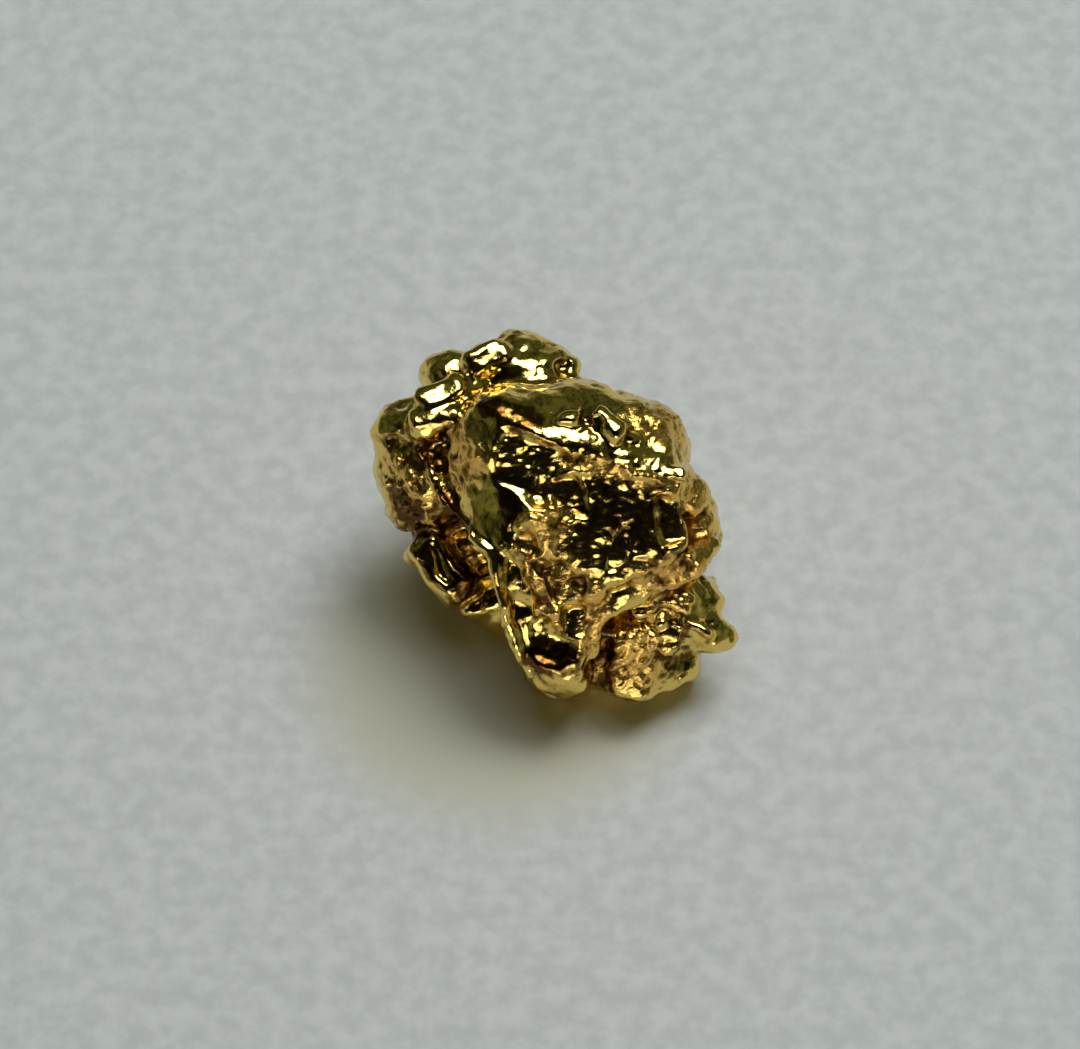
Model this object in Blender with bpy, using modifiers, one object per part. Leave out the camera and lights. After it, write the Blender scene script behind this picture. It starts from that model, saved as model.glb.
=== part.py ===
"""Gold nugget, grown as one piece: a slanting faceted block with lobes, lumps, ledges and pits.

Sizes are millimetres until the last step, which scales the mesh to metres. Two frames are used.
The standing frame has +Z up from the surface that the nugget rests on. The sloping frame lies
along the nugget's broad front face: x to the right, y up the slope and w out of it.
"""

import math
from dataclasses import dataclass, field
from enum import Enum
from typing import Sequence, Union

import bmesh
import bpy
import numpy as np
from mathutils import Matrix, Vector, noise

# Driving dimensions
SLOPE_DEG = 52.0  # how far the front face leans back from upright
FRAME_HEIGHT = 2.04  # the sloping frame's origin above the resting face
STOCK_SIZE = 10.0  # edge of the cube that each block is cut from
WAVE_SEED = 7
WAVES = ((0.45, 0.085, 0.030, 3.0),)  # length, sideways reach, height and offset of the skin's waves
COARSE_GRID = 0.12  # grid of the first fused skin
FINE_GRID = 0.085  # grid of the last one
SKIN_TRIANGLES = 9000
LEAST_STEEPNESS = 0.2  # keeps a vertex from leaping where the form is nearly level
STEP_SHARE = 0.4  # most that a vertex moves in a round, as a share of the grid
RELAX_SHARE = 0.5  # how far a vertex moves to the middle of its neighbours
REST_CUT = 0.02  # how much of the underside is planed off
REST_BLEND = 0.05  # rounding of the resting face's edge
SHARP_DEG = 50.0  # edges sharper than this stay crisp
GOLD = (0.93, 0.66, 0.17, 1.0)
GOLD_ROUGHNESS = 0.2
METRES = 0.001
TINY = 1e-9

SLOPE_SIN = math.sin(math.radians(SLOPE_DEG))
SLOPE_COS = math.cos(math.radians(SLOPE_DEG))
STANDING_TO_SLOPING = Matrix(
    (
        (1.0, 0.0, 0.0),
        (0.0, SLOPE_SIN, SLOPE_COS),
        (0.0, -SLOPE_COS, SLOPE_SIN),
    )
)

Points = np.ndarray
Distances = np.ndarray


class Frame(Enum):
    """The frame that a feature's numbers are in."""

    SLOPING = "sloping"
    STANDING = "standing"


class Use(Enum):
    """What a feature does to the form."""

    ADD = "add"
    CUT = "cut"


def blend_union(first: Distances, second: Distances, width: float) -> Distances:
    """Joins two forms and fills their crease.

    Args:
        first: Distances to one form.
        second: Distances to the other.
        width: Width of the fill.

    Returns:
        Distances to both together.
    """
    crease = np.maximum(width - np.abs(first - second), 0.0) / width
    return np.minimum(first, second) - crease * crease * width * 0.25


def blend_cut(first: Distances, second: Distances, width: float) -> Distances:
    """Keeps what both forms share and rounds their edge.

    Args:
        first: Distances to one form.
        second: Distances to the other.
        width: Width of the rounding.

    Returns:
        Distances to what they share.
    """
    return -blend_union(-first, -second, width)


@dataclass(frozen=True)
class Facet:
    """A flat face: a point on it and the way it faces."""

    at: tuple[float, float, float]
    facing: tuple[float, float, float]

    def distance(self, points: Points) -> Distances:
        """Depth in front of the face."""
        facing = np.array(self.facing) / np.linalg.norm(self.facing)
        return (points - np.array(self.at)) @ facing


@dataclass(frozen=True)
class Block:
    """A convex block, the space behind all its facets, with rounded edges."""

    facets: tuple[Facet, ...]
    rounding: float

    def distance(self, points: Points) -> Distances:
        """Distance to the block."""
        distance = self.facets[0].distance(points)
        for facet in self.facets[1:]:
            distance = blend_cut(distance, facet.distance(points), self.rounding)
        return distance


@dataclass(frozen=True)
class Lump:
    """An ellipsoid: centre, half sizes, turn in degrees about the third axis, width of its blend."""

    name: str
    at: tuple[float, float, float]
    half: tuple[float, float, float]
    turn: float
    blend: float

    def box(self) -> tuple[np.ndarray, np.ndarray]:
        """Lowest and highest corner of what holds it."""
        reach = max(self.half)
        return np.array(self.at) - reach, np.array(self.at) + reach

    def distance(self, points: Points) -> Distances:
        """Distance to the ellipsoid."""
        turn = math.radians(self.turn)
        offset = points - np.array(self.at)
        along = offset[:, 0] * math.cos(turn) + offset[:, 1] * math.sin(turn)
        across = offset[:, 1] * math.cos(turn) - offset[:, 0] * math.sin(turn)
        local = np.stack([along, across, offset[:, 2]], axis=1)
        half = np.array(self.half)
        reach = np.linalg.norm(local / half, axis=1)
        slope = np.linalg.norm(local / half**2, axis=1)
        return reach * (reach - 1.0) / np.maximum(slope, TINY)


@dataclass(frozen=True)
class Strand:
    """A rope-like ridge or groove: points of x, y, depth and radius, and the width of its blend."""

    name: str
    points: tuple[tuple[float, float, float, float], ...]
    blend: float

    def box(self) -> tuple[np.ndarray, np.ndarray]:
        """Lowest and highest corner of what holds it."""
        stops = np.array(self.points)
        reach = stops[:, 3].max()
        return stops[:, :3].min(axis=0) - reach, stops[:, :3].max(axis=0) + reach

    def distance(self, points: Points) -> Distances:
        """Distance to a chain of tapering rods through the strand's points."""
        nearest = np.full(len(points), np.inf)
        for start, end in zip(self.points[:-1], self.points[1:]):
            origin = np.array(start[:3])
            run = np.array(end[:3]) - origin
            along = np.clip((points - origin) @ run / (run @ run), 0.0, 1.0)
            radius = start[3] + (end[3] - start[3]) * along
            gap = np.linalg.norm(points - origin - along[:, None] * run, axis=1) - radius
            nearest = np.minimum(nearest, gap)
        return nearest


@dataclass(frozen=True)
class Slab:
    """A rounded box: centre, half sizes, the way its flat front faces, its turn, rounding and blend."""

    name: str
    at: tuple[float, float, float]
    half: tuple[float, float, float]
    facing: tuple[float, float, float]
    turn: float
    rounding: float
    blend: float

    def box(self) -> tuple[np.ndarray, np.ndarray]:
        """Lowest and highest corner of what holds it."""
        reach = math.hypot(*self.half)
        return np.array(self.at) - reach, np.array(self.at) + reach

    def axes(self) -> np.ndarray:
        """Its three directions as rows: along, across and the way that it faces."""
        front = Vector(self.facing).normalized()
        along = Vector((math.cos(math.radians(self.turn)), math.sin(math.radians(self.turn)), 0.0))
        along = (along - front * along.dot(front)).normalized()
        return np.array([along[:], front.cross(along)[:], front[:]])

    def distance(self, points: Points) -> Distances:
        """Distance to the slab."""
        local = (points - np.array(self.at)) @ self.axes().T
        beyond = np.abs(local) - (np.array(self.half) - self.rounding)
        outside = np.linalg.norm(np.maximum(beyond, 0.0), axis=1)
        return outside + np.minimum(beyond.max(axis=1), 0.0) - self.rounding


Feature = Union[Lump, Strand, Slab]


@dataclass(frozen=True)
class Region:
    """One part of the nugget: what is added to the form, then cut, laid over it and cut again."""

    frame: Frame
    masses: tuple[Feature, ...] = ()
    hollows: tuple[Feature, ...] = ()
    ridges: tuple[Feature, ...] = ()
    pits: tuple[Feature, ...] = ()


@dataclass(frozen=True)
class BackBlock:
    """The rounded mass behind the front face: heading, rise and distance of each of its facets."""

    centre: tuple[float, float, float] = (0.27, 0.75, 1.83)
    rounding: float = 0.33
    facets: tuple[tuple[float, float, float], ...] = (
        (105, 8, 1.68),
        (140, 28, 1.50),
        (178, 12, 1.38),
        (215, 30, 1.47),
        (250, 6, 1.59),
        (160, -28, 1.50),
        (205, -30, 1.47),
        (95, -35, 1.68),
        (262, -32, 1.68),
        (178, 58, 1.29),
        (120, 62, 1.44),
        (235, 62, 1.44),
        (0, 0, 0.90),
        (60, -20, 1.50),
        (300, -20, 1.50),
        (0, 80, 0.90),
        (0, -80, 1.77),
    )

    def block(self) -> Block:
        """The mass as a block of the standing frame."""
        centre = Vector(self.centre)
        faces = []
        for azimuth, rise, distance in self.facets:
            facing = heading(azimuth, rise)
            faces.append(Facet(tuple(centre + facing * distance), tuple(facing)))
        return Block(tuple(faces), self.rounding)


def heading(azimuth_deg: float, rise_deg: float) -> Vector:
    """A direction of the standing frame.

    Args:
        azimuth_deg: 0 is the front, 90 the right.
        rise_deg: How far it points up.

    Returns:
        Its unit vector.
    """
    azimuth = math.radians(azimuth_deg)
    rise = math.radians(rise_deg)
    level = math.cos(rise)
    return Vector((math.sin(azimuth) * level, -math.cos(azimuth) * level, math.sin(rise)))


UPPER_BLOCK = Block(
    (
        Facet((0.82, 0.22, 1.77), (0.04, -0.02, 1.00)),
        Facet((0.52, 1.02, 1.78), (0.20, 0.57, 0.79)),
        Facet((-0.15, 1.95, 1.17), (0.10, 0.85, 0.50)),
        Facet((-0.15, -0.45, 1.69), (-0.06, -0.26, 0.96)),
        Facet((-0.85, -0.10, 1.60), (-0.36, -0.08, 0.93)),
        Facet((-1.27, 0.79, 1.44), (-0.75, -0.08, 0.66)),
        Facet((1.88, 0.53, 1.47), (0.75, 0.15, 0.64)),
        Facet((2.35, 0.00, 0.60), (0.95, 0.25, 0.00)),
        Facet((1.69, 1.40, 0.45), (0.78, 0.62, 0.00)),
        Facet((0.79, 1.91, 0.45), (0.41, 0.91, 0.05)),
        Facet((-0.38, 1.96, 0.90), (-0.12, 0.98, 0.15)),
        Facet((-1.50, 1.27, 0.75), (-0.89, 0.45, 0.00)),
        Facet((-1.27, -0.16, 0.90), (-0.86, -0.51, -0.06)),
        Facet((1.57, -0.85, 0.90), (0.41, -0.91, 0.10)),
        Facet((-0.22, -1.27, 0.90), (-0.30, -0.95, 0.00)),
        Facet((0.67, 0.22, -1.35), (0.17, 0.66, -0.73)),
        Facet((0.67, 0.22, -0.90), (0.88, 0.04, -0.47)),
        Facet((-0.82, 0.22, -0.90), (-0.91, 0.10, -0.41)),
        Facet((0.00, 0.22, -1.65), (0.00, 0.00, -1.00)),
    ),
    rounding=0.18,
)

LOWER_BLOCK = Block(
    (
        Facet((-0.04, -1.12, 1.54), (-0.02, -0.24, 0.97)),
        Facet((-0.22, -1.88, 1.29), (-0.10, -0.10, 0.99)),
        Facet((-0.10, -2.47, 1.08), (-0.05, -0.84, 0.54)),
        Facet((-0.88, -1.43, 0.60), (-0.98, -0.12, -0.05)),
        Facet((-1.02, -0.77, 1.05), (-0.90, -0.42, -0.05)),
        Facet((-0.52, -2.26, 0.15), (-0.86, -0.51, 0.00)),
        Facet((-0.02, -2.74, 0.15), (-0.10, -0.99, 0.00)),
        Facet((0.20, -2.76, 0.15), (0.35, -0.93, 0.00)),
        Facet((0.61, -1.88, 0.45), (0.97, -0.15, 0.20)),
        Facet((0.00, -0.38, -0.90), (0.00, 0.00, -1.00)),
        Facet((0.00, -0.07, 0.00), (0.00, 1.00, 0.00)),
    ),
    rounding=0.15,
)

SIDE_BLOCK = Block(
    (
        Facet((1.19, -2.10, 0.84), (-0.05, -0.35, 0.94)),
        Facet((0.78, -2.02, 0.45), (-0.98, 0.00, 0.20)),
        Facet((1.09, -2.76, 0.15), (-0.25, -0.97, 0.00)),
        Facet((1.75, -2.62, 0.15), (0.36, -0.93, 0.00)),
        Facet((1.81, -1.88, 0.54), (0.55, -0.25, 0.80)),
        Facet((1.27, -1.45, 0.60), (-0.10, 0.80, 0.60)),
        Facet((1.27, -1.88, -0.75), (0.00, 0.00, -1.00)),
        Facet((2.25, -1.88, 0.00), (1.00, -0.20, 0.00)),
        Facet((1.43, -0.90, 0.00), (0.00, 1.00, 0.00)),
    ),
    rounding=0.09,
)

CREST = Region(
    Frame.SLOPING,
    masses=(
        Lump("crest left", (-1.03, 2.30, 0.10), (0.40, 0.26, 0.33), 40, 0.09),
        Slab(
            "crest left flat",
            (-1.04, 2.34, 0.24), (0.36, 0.22, 0.24), (0.05, 0.33, 0.94), 33, 0.12, 0.06,
        ),
        Lump("crest top", (-0.50, 2.37, -0.14), (0.50, 0.46, 0.44), 0, 0.12),
        Lump("crest right", (-0.12, 2.26, -0.04), (0.32, 0.36, 0.40), -35, 0.09),
        Lump("crest end", (0.16, 2.21, -0.06), (0.18, 0.22, 0.21), 0, 0.06),
        Lump("crest root", (-0.53, 1.72, -0.36), (0.96, 0.60, 0.66), 0, 0.15),
        Lump("crest apron", (-0.50, 2.13, 0.05), (0.66, 0.34, 0.42), 0, 0.15),
        Lump("far knob", (-1.60, 2.11, -0.51), (0.47, 0.43, 0.42), 0, 0.12),
        Lump("shoulder back", (0.58, 1.75, 0.15), (0.54, 0.27, 0.45), -30, 0.12),
    ),
    pits=(
        Lump("crest end pit", (0.16, 2.23, 0.27), (0.14, 0.14, 0.15), 0, 0.04),
        Strand(
            "crest valley",
            (
                (-1.30, 1.84, 0.90, 0.10),
                (-0.90, 2.08, 0.75, 0.09),
                (-0.30, 2.06, 0.74, 0.07),
                (0.26, 1.93, 0.72, 0.09),
            ),
            0.07,
        ),
        Strand("crest nick", ((-0.86, 2.62, 0.30, 0.05), (-0.78, 2.30, 0.38, 0.04)), 0.05),
    ),
)

KNUCKLES = Region(
    Frame.SLOPING,
    masses=(
        Lump("far left knob", (-2.34, 1.30, 0.09), (0.40, 0.43, 0.45), 0, 0.12),
        Lump("knuckle root", (-1.88, 1.35, 0.05), (0.60, 0.51, 0.51), 15, 0.12),
        Slab("upper knuckle", (-1.70, 1.79, 0.53), (0.41, 0.22, 0.34), (0.04, 0.35, 0.94), 28, 0.19, 0.10),
        Slab("lower knuckle", (-1.80, 1.40, 0.61), (0.47, 0.23, 0.34), (-0.04, 0.33, 0.94), 13, 0.20, 0.10),
    ),
    ridges=(
        Lump("knuckle bead left", (-1.62, 0.89, 0.75), (0.09, 0.09, 0.12), 0, 0.03),
        Lump("knuckle bead right", (-1.50, 0.77, 0.78), (0.09, 0.09, 0.12), 0, 0.03),
        Lump("knuckle bead low", (-1.58, 0.72, 0.74), (0.06, 0.06, 0.09), 0, 0.03),
        Lump("saddle bead", (-1.21, 1.12, 1.26), (0.07, 0.15, 0.12), 0, 0.03),
        Strand(
            "bead ridge",
            ((-2.03, 1.14, 0.66, 0.05), (-2.05, 0.98, 0.66, 0.06), (-1.97, 0.86, 0.68, 0.05)),
            0.05,
        ),
    ),
    pits=(
        Lump("under the far left knob", (-2.32, 1.02, 0.51), (0.27, 0.14, 0.21), -25, 0.06),
        Lump("knuckle pit left", (-1.84, 1.03, 0.78), (0.15, 0.12, 0.18), 0, 0.04),
        Lump("knuckle pit right", (-1.58, 1.19, 0.86), (0.12, 0.10, 0.18), 0, 0.04),
        Strand("saddle", ((-1.40, 1.72, 0.99, 0.10), (-1.30, 1.12, 1.20, 0.09)), 0.06),
    ),
)

DOME = Region(
    Frame.SLOPING,
    masses=(
        Lump("dome", (-0.50, 1.00, 0.87), (1.02, 0.92, 0.90), 0, 0.18),
        Lump("shoulder", (1.39, 1.18, 0.45), (0.72, 0.53, 0.90), -38, 0.18),
        Lump("right lobe", (2.10, -0.14, 0.21), (0.40, 0.60, 0.60), 12, 0.15),
        Strand(
            "brow",
            (
                (-0.62, 1.08, 1.28, 0.28),
                (-0.18, 1.13, 1.30, 0.44),
                (0.38, 0.98, 1.26, 0.53),
                (0.95, 0.74, 1.24, 0.54),
                (1.50, 0.54, 1.22, 0.46),
                (2.00, 0.28, 1.06, 0.32),
            ),
            0.08,
        ),
    ),
    ridges=(
        Slab("brow nodule", (0.80, 1.36, 1.59), (0.31, 0.19, 0.19), (0.05, 0.33, 0.94), -42, 0.13, 0.08),
        Slab("dome nodule", (0.18, 1.43, 1.61), (0.18, 0.14, 0.16), (0.05, 0.36, 0.93), -15, 0.12, 0.09),
        Slab("rim nodule", (1.66, 0.66, 1.52), (0.28, 0.13, 0.16), (0.10, 0.30, 0.95), -12, 0.06, 0.05),
    ),
    pits=(
        Lump("ledge pit", (0.60, 1.36, 1.72), (0.09, 0.16, 0.14), -15, 0.04),
        Lump("right notch", (2.28, -0.72, 0.75), (0.15, 0.14, 0.30), 20, 0.06),
        Lump("shoulder pit", (1.20, 1.15, 1.50), (0.20, 0.12, 0.16), -30, 0.06),
    ),
)

FRONT = Region(
    Frame.SLOPING,
    hollows=(
        Slab("front hollow", (0.98, -0.08, 2.00), (0.80, 0.78, 0.31), (0.04, -0.05, 0.99), -22, 0.12, 0.06),
        Slab(
            "hollow bay left",
            (0.20, 0.26, 1.94), (0.24, 0.34, 0.28), (-0.03, -0.04, 0.99), 15, 0.10, 0.08,
        ),
        Slab(
            "hollow bay right",
            (1.78, -0.06, 1.81), (0.24, 0.34, 0.28), (0.14, -0.04, 0.98), 12, 0.10, 0.07,
        ),
        Slab("pan", (-0.46, 0.72, 1.92), (0.58, 0.44, 0.24), (-0.06, -0.05, 0.99), -24, 0.14, 0.07),
    ),
    ridges=(
        Strand(
            "right rim",
            (
                (2.32, -0.42, 0.84, 0.15),
                (2.02, -0.68, 1.08, 0.21),
                (1.50, -0.95, 1.17, 0.22),
                (1.05, -1.17, 1.20, 0.20),
                (0.77, -1.36, 1.23, 0.14),
            ),
            0.14,
        ),
        Slab("rim flat", (1.72, -0.82, 1.18), (0.42, 0.16, 0.18), (0.20, -0.45, 0.85), 26, 0.10, 0.10),
        Lump("centre fold", (-0.22, -0.10, 1.66), (0.27, 0.14, 0.12), -30, 0.06),
        Slab(
            "centre patch",
            (-0.28, -0.16, 1.62), (0.26, 0.18, 0.16), (-0.10, -0.35, 0.93), -35, 0.06, 0.06,
        ),
    ),
    pits=(
        Lump("centre pit", (-0.46, -0.39, 1.78), (0.18, 0.16, 0.21), 0, 0.04),
        Lump("dark slot", (0.98, -0.52, 1.66), (0.12, 0.34, 0.22), -18, 0.05),
    ),
)

LEFT_SIDE = Region(
    Frame.SLOPING,
    masses=(
        Lump("left mass", (-1.77, 0.67, -0.09), (0.85, 0.87, 0.90), -10, 0.18),
        Lump("left wall", (-2.30, 0.58, -0.24), (0.42, 0.84, 0.66), 8, 0.15),
        Lump("left foot root", (-1.40, -0.49, -0.75), (0.66, 0.60, 0.60), 30, 0.15),
        Slab("left foot", (-1.69, -0.78, -0.22), (0.34, 0.62, 0.40), (-0.10, 0.04, 0.99), 40, 0.24, 0.09),
        Lump("toe", (-1.21, -1.36, -0.60), (0.24, 0.21, 0.24), 0, 0.09),
        Lump("under left", (-0.75, -1.20, -0.95), (0.60, 0.60, 0.60), 0, 0.18),
        Lump("foot", (0.53, -0.67, -1.35), (1.50, 1.05, 0.90), 0, 0.24),
    ),
    ridges=(
        Strand(
            "left edge",
            (
                (-1.86, 0.86, 0.78, 0.05),
                (-1.72, 0.24, 1.02, 0.07),
                (-1.27, -0.26, 1.36, 0.08),
                (-1.00, -0.55, 1.46, 0.09),
                (-0.91, -0.91, 1.46, 0.09),
                (-0.76, -1.33, 1.41, 0.09),
                (-0.65, -1.88, 1.19, 0.09),
                (-0.38, -2.38, 0.95, 0.08),
            ),
            0.09,
        ),
        Strand(
            "wall ridge",
            ((-2.30, 0.95, 0.48, 0.05), (-2.12, 0.50, 0.56, 0.07), (-1.98, 0.02, 0.52, 0.06)),
            0.08,
        ),
    ),
    pits=(
        Lump("wall pit upper", (-2.13, 0.18, 0.51), (0.12, 0.21, 0.21), -10, 0.04),
        Lump("wall pit lower", (-2.25, -0.20, 0.39), (0.15, 0.12, 0.18), 0, 0.04),
        Strand(
            "recess",
            ((-1.57, -0.07, 0.84, 0.15), (-1.27, -0.67, 0.69, 0.27), (-0.94, -1.60, 0.39, 0.21)),
            0.07,
        ),
        Strand(
            "wall groove",
            ((-1.84, 0.67, 0.84, 0.06), (-1.64, 0.15, 0.81, 0.07), (-1.27, -0.30, 0.87, 0.07)),
            0.04,
        ),
        Strand(
            "outer groove",
            ((-2.44, 0.90, 0.39, 0.06), (-2.35, 0.53, 0.45, 0.06), (-2.29, -0.07, 0.39, 0.06)),
            0.04,
        ),
        Strand(
            "foot groove",
            ((-1.88, -0.45, 0.18, 0.06), (-1.70, -0.90, 0.21, 0.08), (-1.46, -1.19, 0.15, 0.06)),
            0.04,
        ),
    ),
)

FRONT_FOOT = Region(
    Frame.SLOPING,
    masses=(
        Lump("front foot", (0.00, -2.20, -0.09), (0.50, 0.54, 0.54), 0, 0.18),
        Lump("front foot side", (0.34, -2.05, 0.09), (0.36, 0.48, 0.45), 0, 0.12),
    ),
    ridges=(
        Slab("lobe fold 1", (-0.44, -0.70, 1.57), (0.15, 0.34, 0.16), (-0.05, -0.36, 0.93), 36, 0.08, 0.06),
        Slab("lobe fold 2", (-0.20, -1.16, 1.47), (0.15, 0.36, 0.16), (0.05, -0.36, 0.93), 14, 0.08, 0.06),
        Slab("lobe fold 3", (0.00, -1.58, 1.38), (0.13, 0.26, 0.14), (-0.05, -0.37, 0.92), 20, 0.08, 0.06),
        Slab("lobe fold 4", (0.46, -0.98, 1.42), (0.34, 0.15, 0.16), (0.05, -0.36, 0.93), -42, 0.08, 0.07),
        Slab("lobe fold 5", (0.56, -1.72, 1.02), (0.12, 0.46, 0.18), (0.05, -0.34, 0.94), -14, 0.07, 0.07),
        Lump("foot dimple rim", (0.05, -2.62, 0.39), (0.27, 0.18, 0.18), 0, 0.04),
        Strand(
            "foot rim",
            ((-0.36, -2.30, 0.86, 0.08), (-0.12, -2.54, 0.76, 0.10), (0.35, -2.48, 0.78, 0.10)),
            0.10,
        ),
    ),
    pits=(
        Slab("lobe pocket", (0.24, -1.38, 1.60), (0.21, 0.38, 0.30), (0.02, 0.00, 0.99), 12, 0.06, 0.05),
        Slab("foot pocket", (-0.12, -1.94, 1.51), (0.42, 0.31, 0.33), (-0.04, -0.06, 1.00), -26, 0.20, 0.06),
        Lump("foot dimple", (0.13, -2.60, 0.53), (0.12, 0.09, 0.14), 0, 0.03),
        Slab("left ledge", (-0.54, -1.12, 1.70), (0.17, 0.62, 0.26), (-0.06, -0.09, 0.99), 12, 0.07, 0.05),
    ),
)

SIDE = Region(
    Frame.SLOPING,
    masses=(
        Lump("beak root", (1.81, -1.45, 0.21), (0.57, 0.51, 0.54), 0, 0.12),
        Lump("beak top", (2.21, -1.27, 0.12), (0.32, 0.40, 0.42), 28, 0.09),
    ),
    ridges=(
        Strand(
            "beak",
            ((1.93, -1.60, 0.39, 0.30), (2.32, -1.76, 0.28, 0.28), (2.60, -1.82, 0.22, 0.21)),
            0.12,
        ),
        Slab("beak streak", (2.14, -1.66, 0.66), (0.30, 0.09, 0.12), (0.10, 0.28, 0.95), -36, 0.06, 0.05),
        Slab(
            "side lump left",
            (1.38, -1.32, 0.90), (0.26, 0.16, 0.16), (-0.10, 0.05, 0.99), 20, 0.09, 0.06,
        ),
        Slab(
            "side lump middle",
            (1.86, -1.28, 0.86), (0.20, 0.16, 0.18), (0.15, 0.10, 0.98), -30, 0.08, 0.06,
        ),
        Slab(
            "side lump low",
            (1.66, -1.80, 0.80), (0.20, 0.26, 0.12), (0.05, -0.34, 0.94), -20, 0.06, 0.05,
        ),
    ),
    pits=(
        Lump("under the beak", (2.20, -2.00, 0.60), (0.32, 0.08, 0.22), -25, 0.06),
        Lump("side block pit", (1.00, -2.42, 0.87), (0.12, 0.18, 0.18), 0, 0.04),
        Strand(
            "crevice",
            ((0.98, -1.32, 0.99, 0.09), (0.76, -1.88, 0.78, 0.09), (0.68, -2.66, 0.56, 0.09)),
            0.05,
        ),
        Strand(
            "side step",
            ((1.52, -1.50, 0.98, 0.05), (1.50, -2.02, 0.86, 0.05), (1.62, -2.53, 0.58, 0.05)),
            0.04,
        ),
        Strand(
            "under the rim",
            ((1.03, -1.51, 0.96, 0.07), (1.45, -1.22, 0.95, 0.08), (1.88, -1.06, 0.86, 0.07)),
            0.06,
        ),
        Strand(
            "beak groove",
            ((1.81, -1.43, 0.78, 0.04), (2.17, -1.55, 0.66, 0.06), (2.46, -1.70, 0.48, 0.04)),
            0.04,
        ),
    ),
)

BACK = Region(
    Frame.STANDING,
    masses=(
        Lump("back boss upper", (0.90, 1.68, 2.25), (0.57, 0.45, 0.45), 0, 0.12),
        Lump("back boss left", (-0.72, 1.77, 1.44), (0.63, 0.48, 0.57), 0, 0.12),
        Lump("back boss low", (1.11, 1.68, 0.81), (0.66, 0.54, 0.51), 0, 0.12),
        Lump("back knob", (0.09, 2.13, 1.92), (0.36, 0.24, 0.33), 0, 0.07),
        Lump("back bead low", (0.51, 2.10, 1.38), (0.21, 0.18, 0.20), 0, 0.06),
        Lump("back bead high", (-0.33, 2.01, 2.40), (0.24, 0.21, 0.21), 0, 0.06),
        Lump("right boss", (1.83, 0.78, 1.68), (0.42, 0.54, 0.45), 0, 0.12),
        Lump("right bead", (1.92, 0.36, 1.17), (0.27, 0.30, 0.24), 0, 0.07),
        Lump("right low boss", (1.62, 1.05, 0.69), (0.45, 0.51, 0.39), 0, 0.10),
        Lump("left low boss", (-1.23, 0.90, 0.78), (0.54, 0.60, 0.48), 0, 0.12),
        Lump("left low bead", (-1.68, 0.51, 1.38), (0.24, 0.33, 0.27), 0, 0.07),
    ),
    hollows=(
        Lump("back pit high", (0.45, 2.37, 2.28), (0.39, 0.27, 0.27), 0, 0.09),
        Lump("back pit low", (-0.18, 2.28, 1.11), (0.36, 0.27, 0.24), 0, 0.09),
        Lump("back pit right", (1.47, 1.86, 1.86), (0.36, 0.33, 0.39), 0, 0.09),
        Lump("back pit left", (-1.38, 1.68, 2.01), (0.33, 0.36, 0.36), 0, 0.09),
        Lump("side pit", (2.22, 0.78, 1.17), (0.27, 0.33, 0.21), 0, 0.07),
        Strand(
            "back cleft",
            (
                (-1.05, 1.92, 2.52, 0.09),
                (-0.24, 2.28, 1.77, 0.12),
                (0.30, 2.22, 0.96, 0.12),
                (0.45, 1.95, 0.30, 0.09),
            ),
            0.07,
        ),
        Strand(
            "side cleft",
            ((1.98, 1.32, 2.25, 0.09), (2.07, 1.38, 1.50, 0.12), (1.92, 1.38, 0.60, 0.10)),
            0.07,
        ),
        Strand(
            "back ledge",
            ((0.90, 2.34, 1.92, 0.09), (1.44, 1.92, 1.38, 0.09), (1.92, 1.44, 1.26, 0.07)),
            0.07,
        ),
    ),
)


@dataclass(frozen=True)
class Warp:
    """Unevenness that bends every feature: length, sideways reach, height and offset of each wave."""

    waves: tuple[tuple[float, float, float, float], ...] = WAVES

    def moved(self, sloping: Points) -> Points:
        """Points of the sloping frame shifted by the waves."""
        result = sloping.copy()
        for length, sideways, height, offset in self.waves:
            start = Vector((offset, 0.0, 0.0))
            shift = np.array([noise.noise_vector(Vector(p) / length + start)[:] for p in sloping])
            result += shift * np.array([sideways, sideways, height])
        return result


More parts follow.
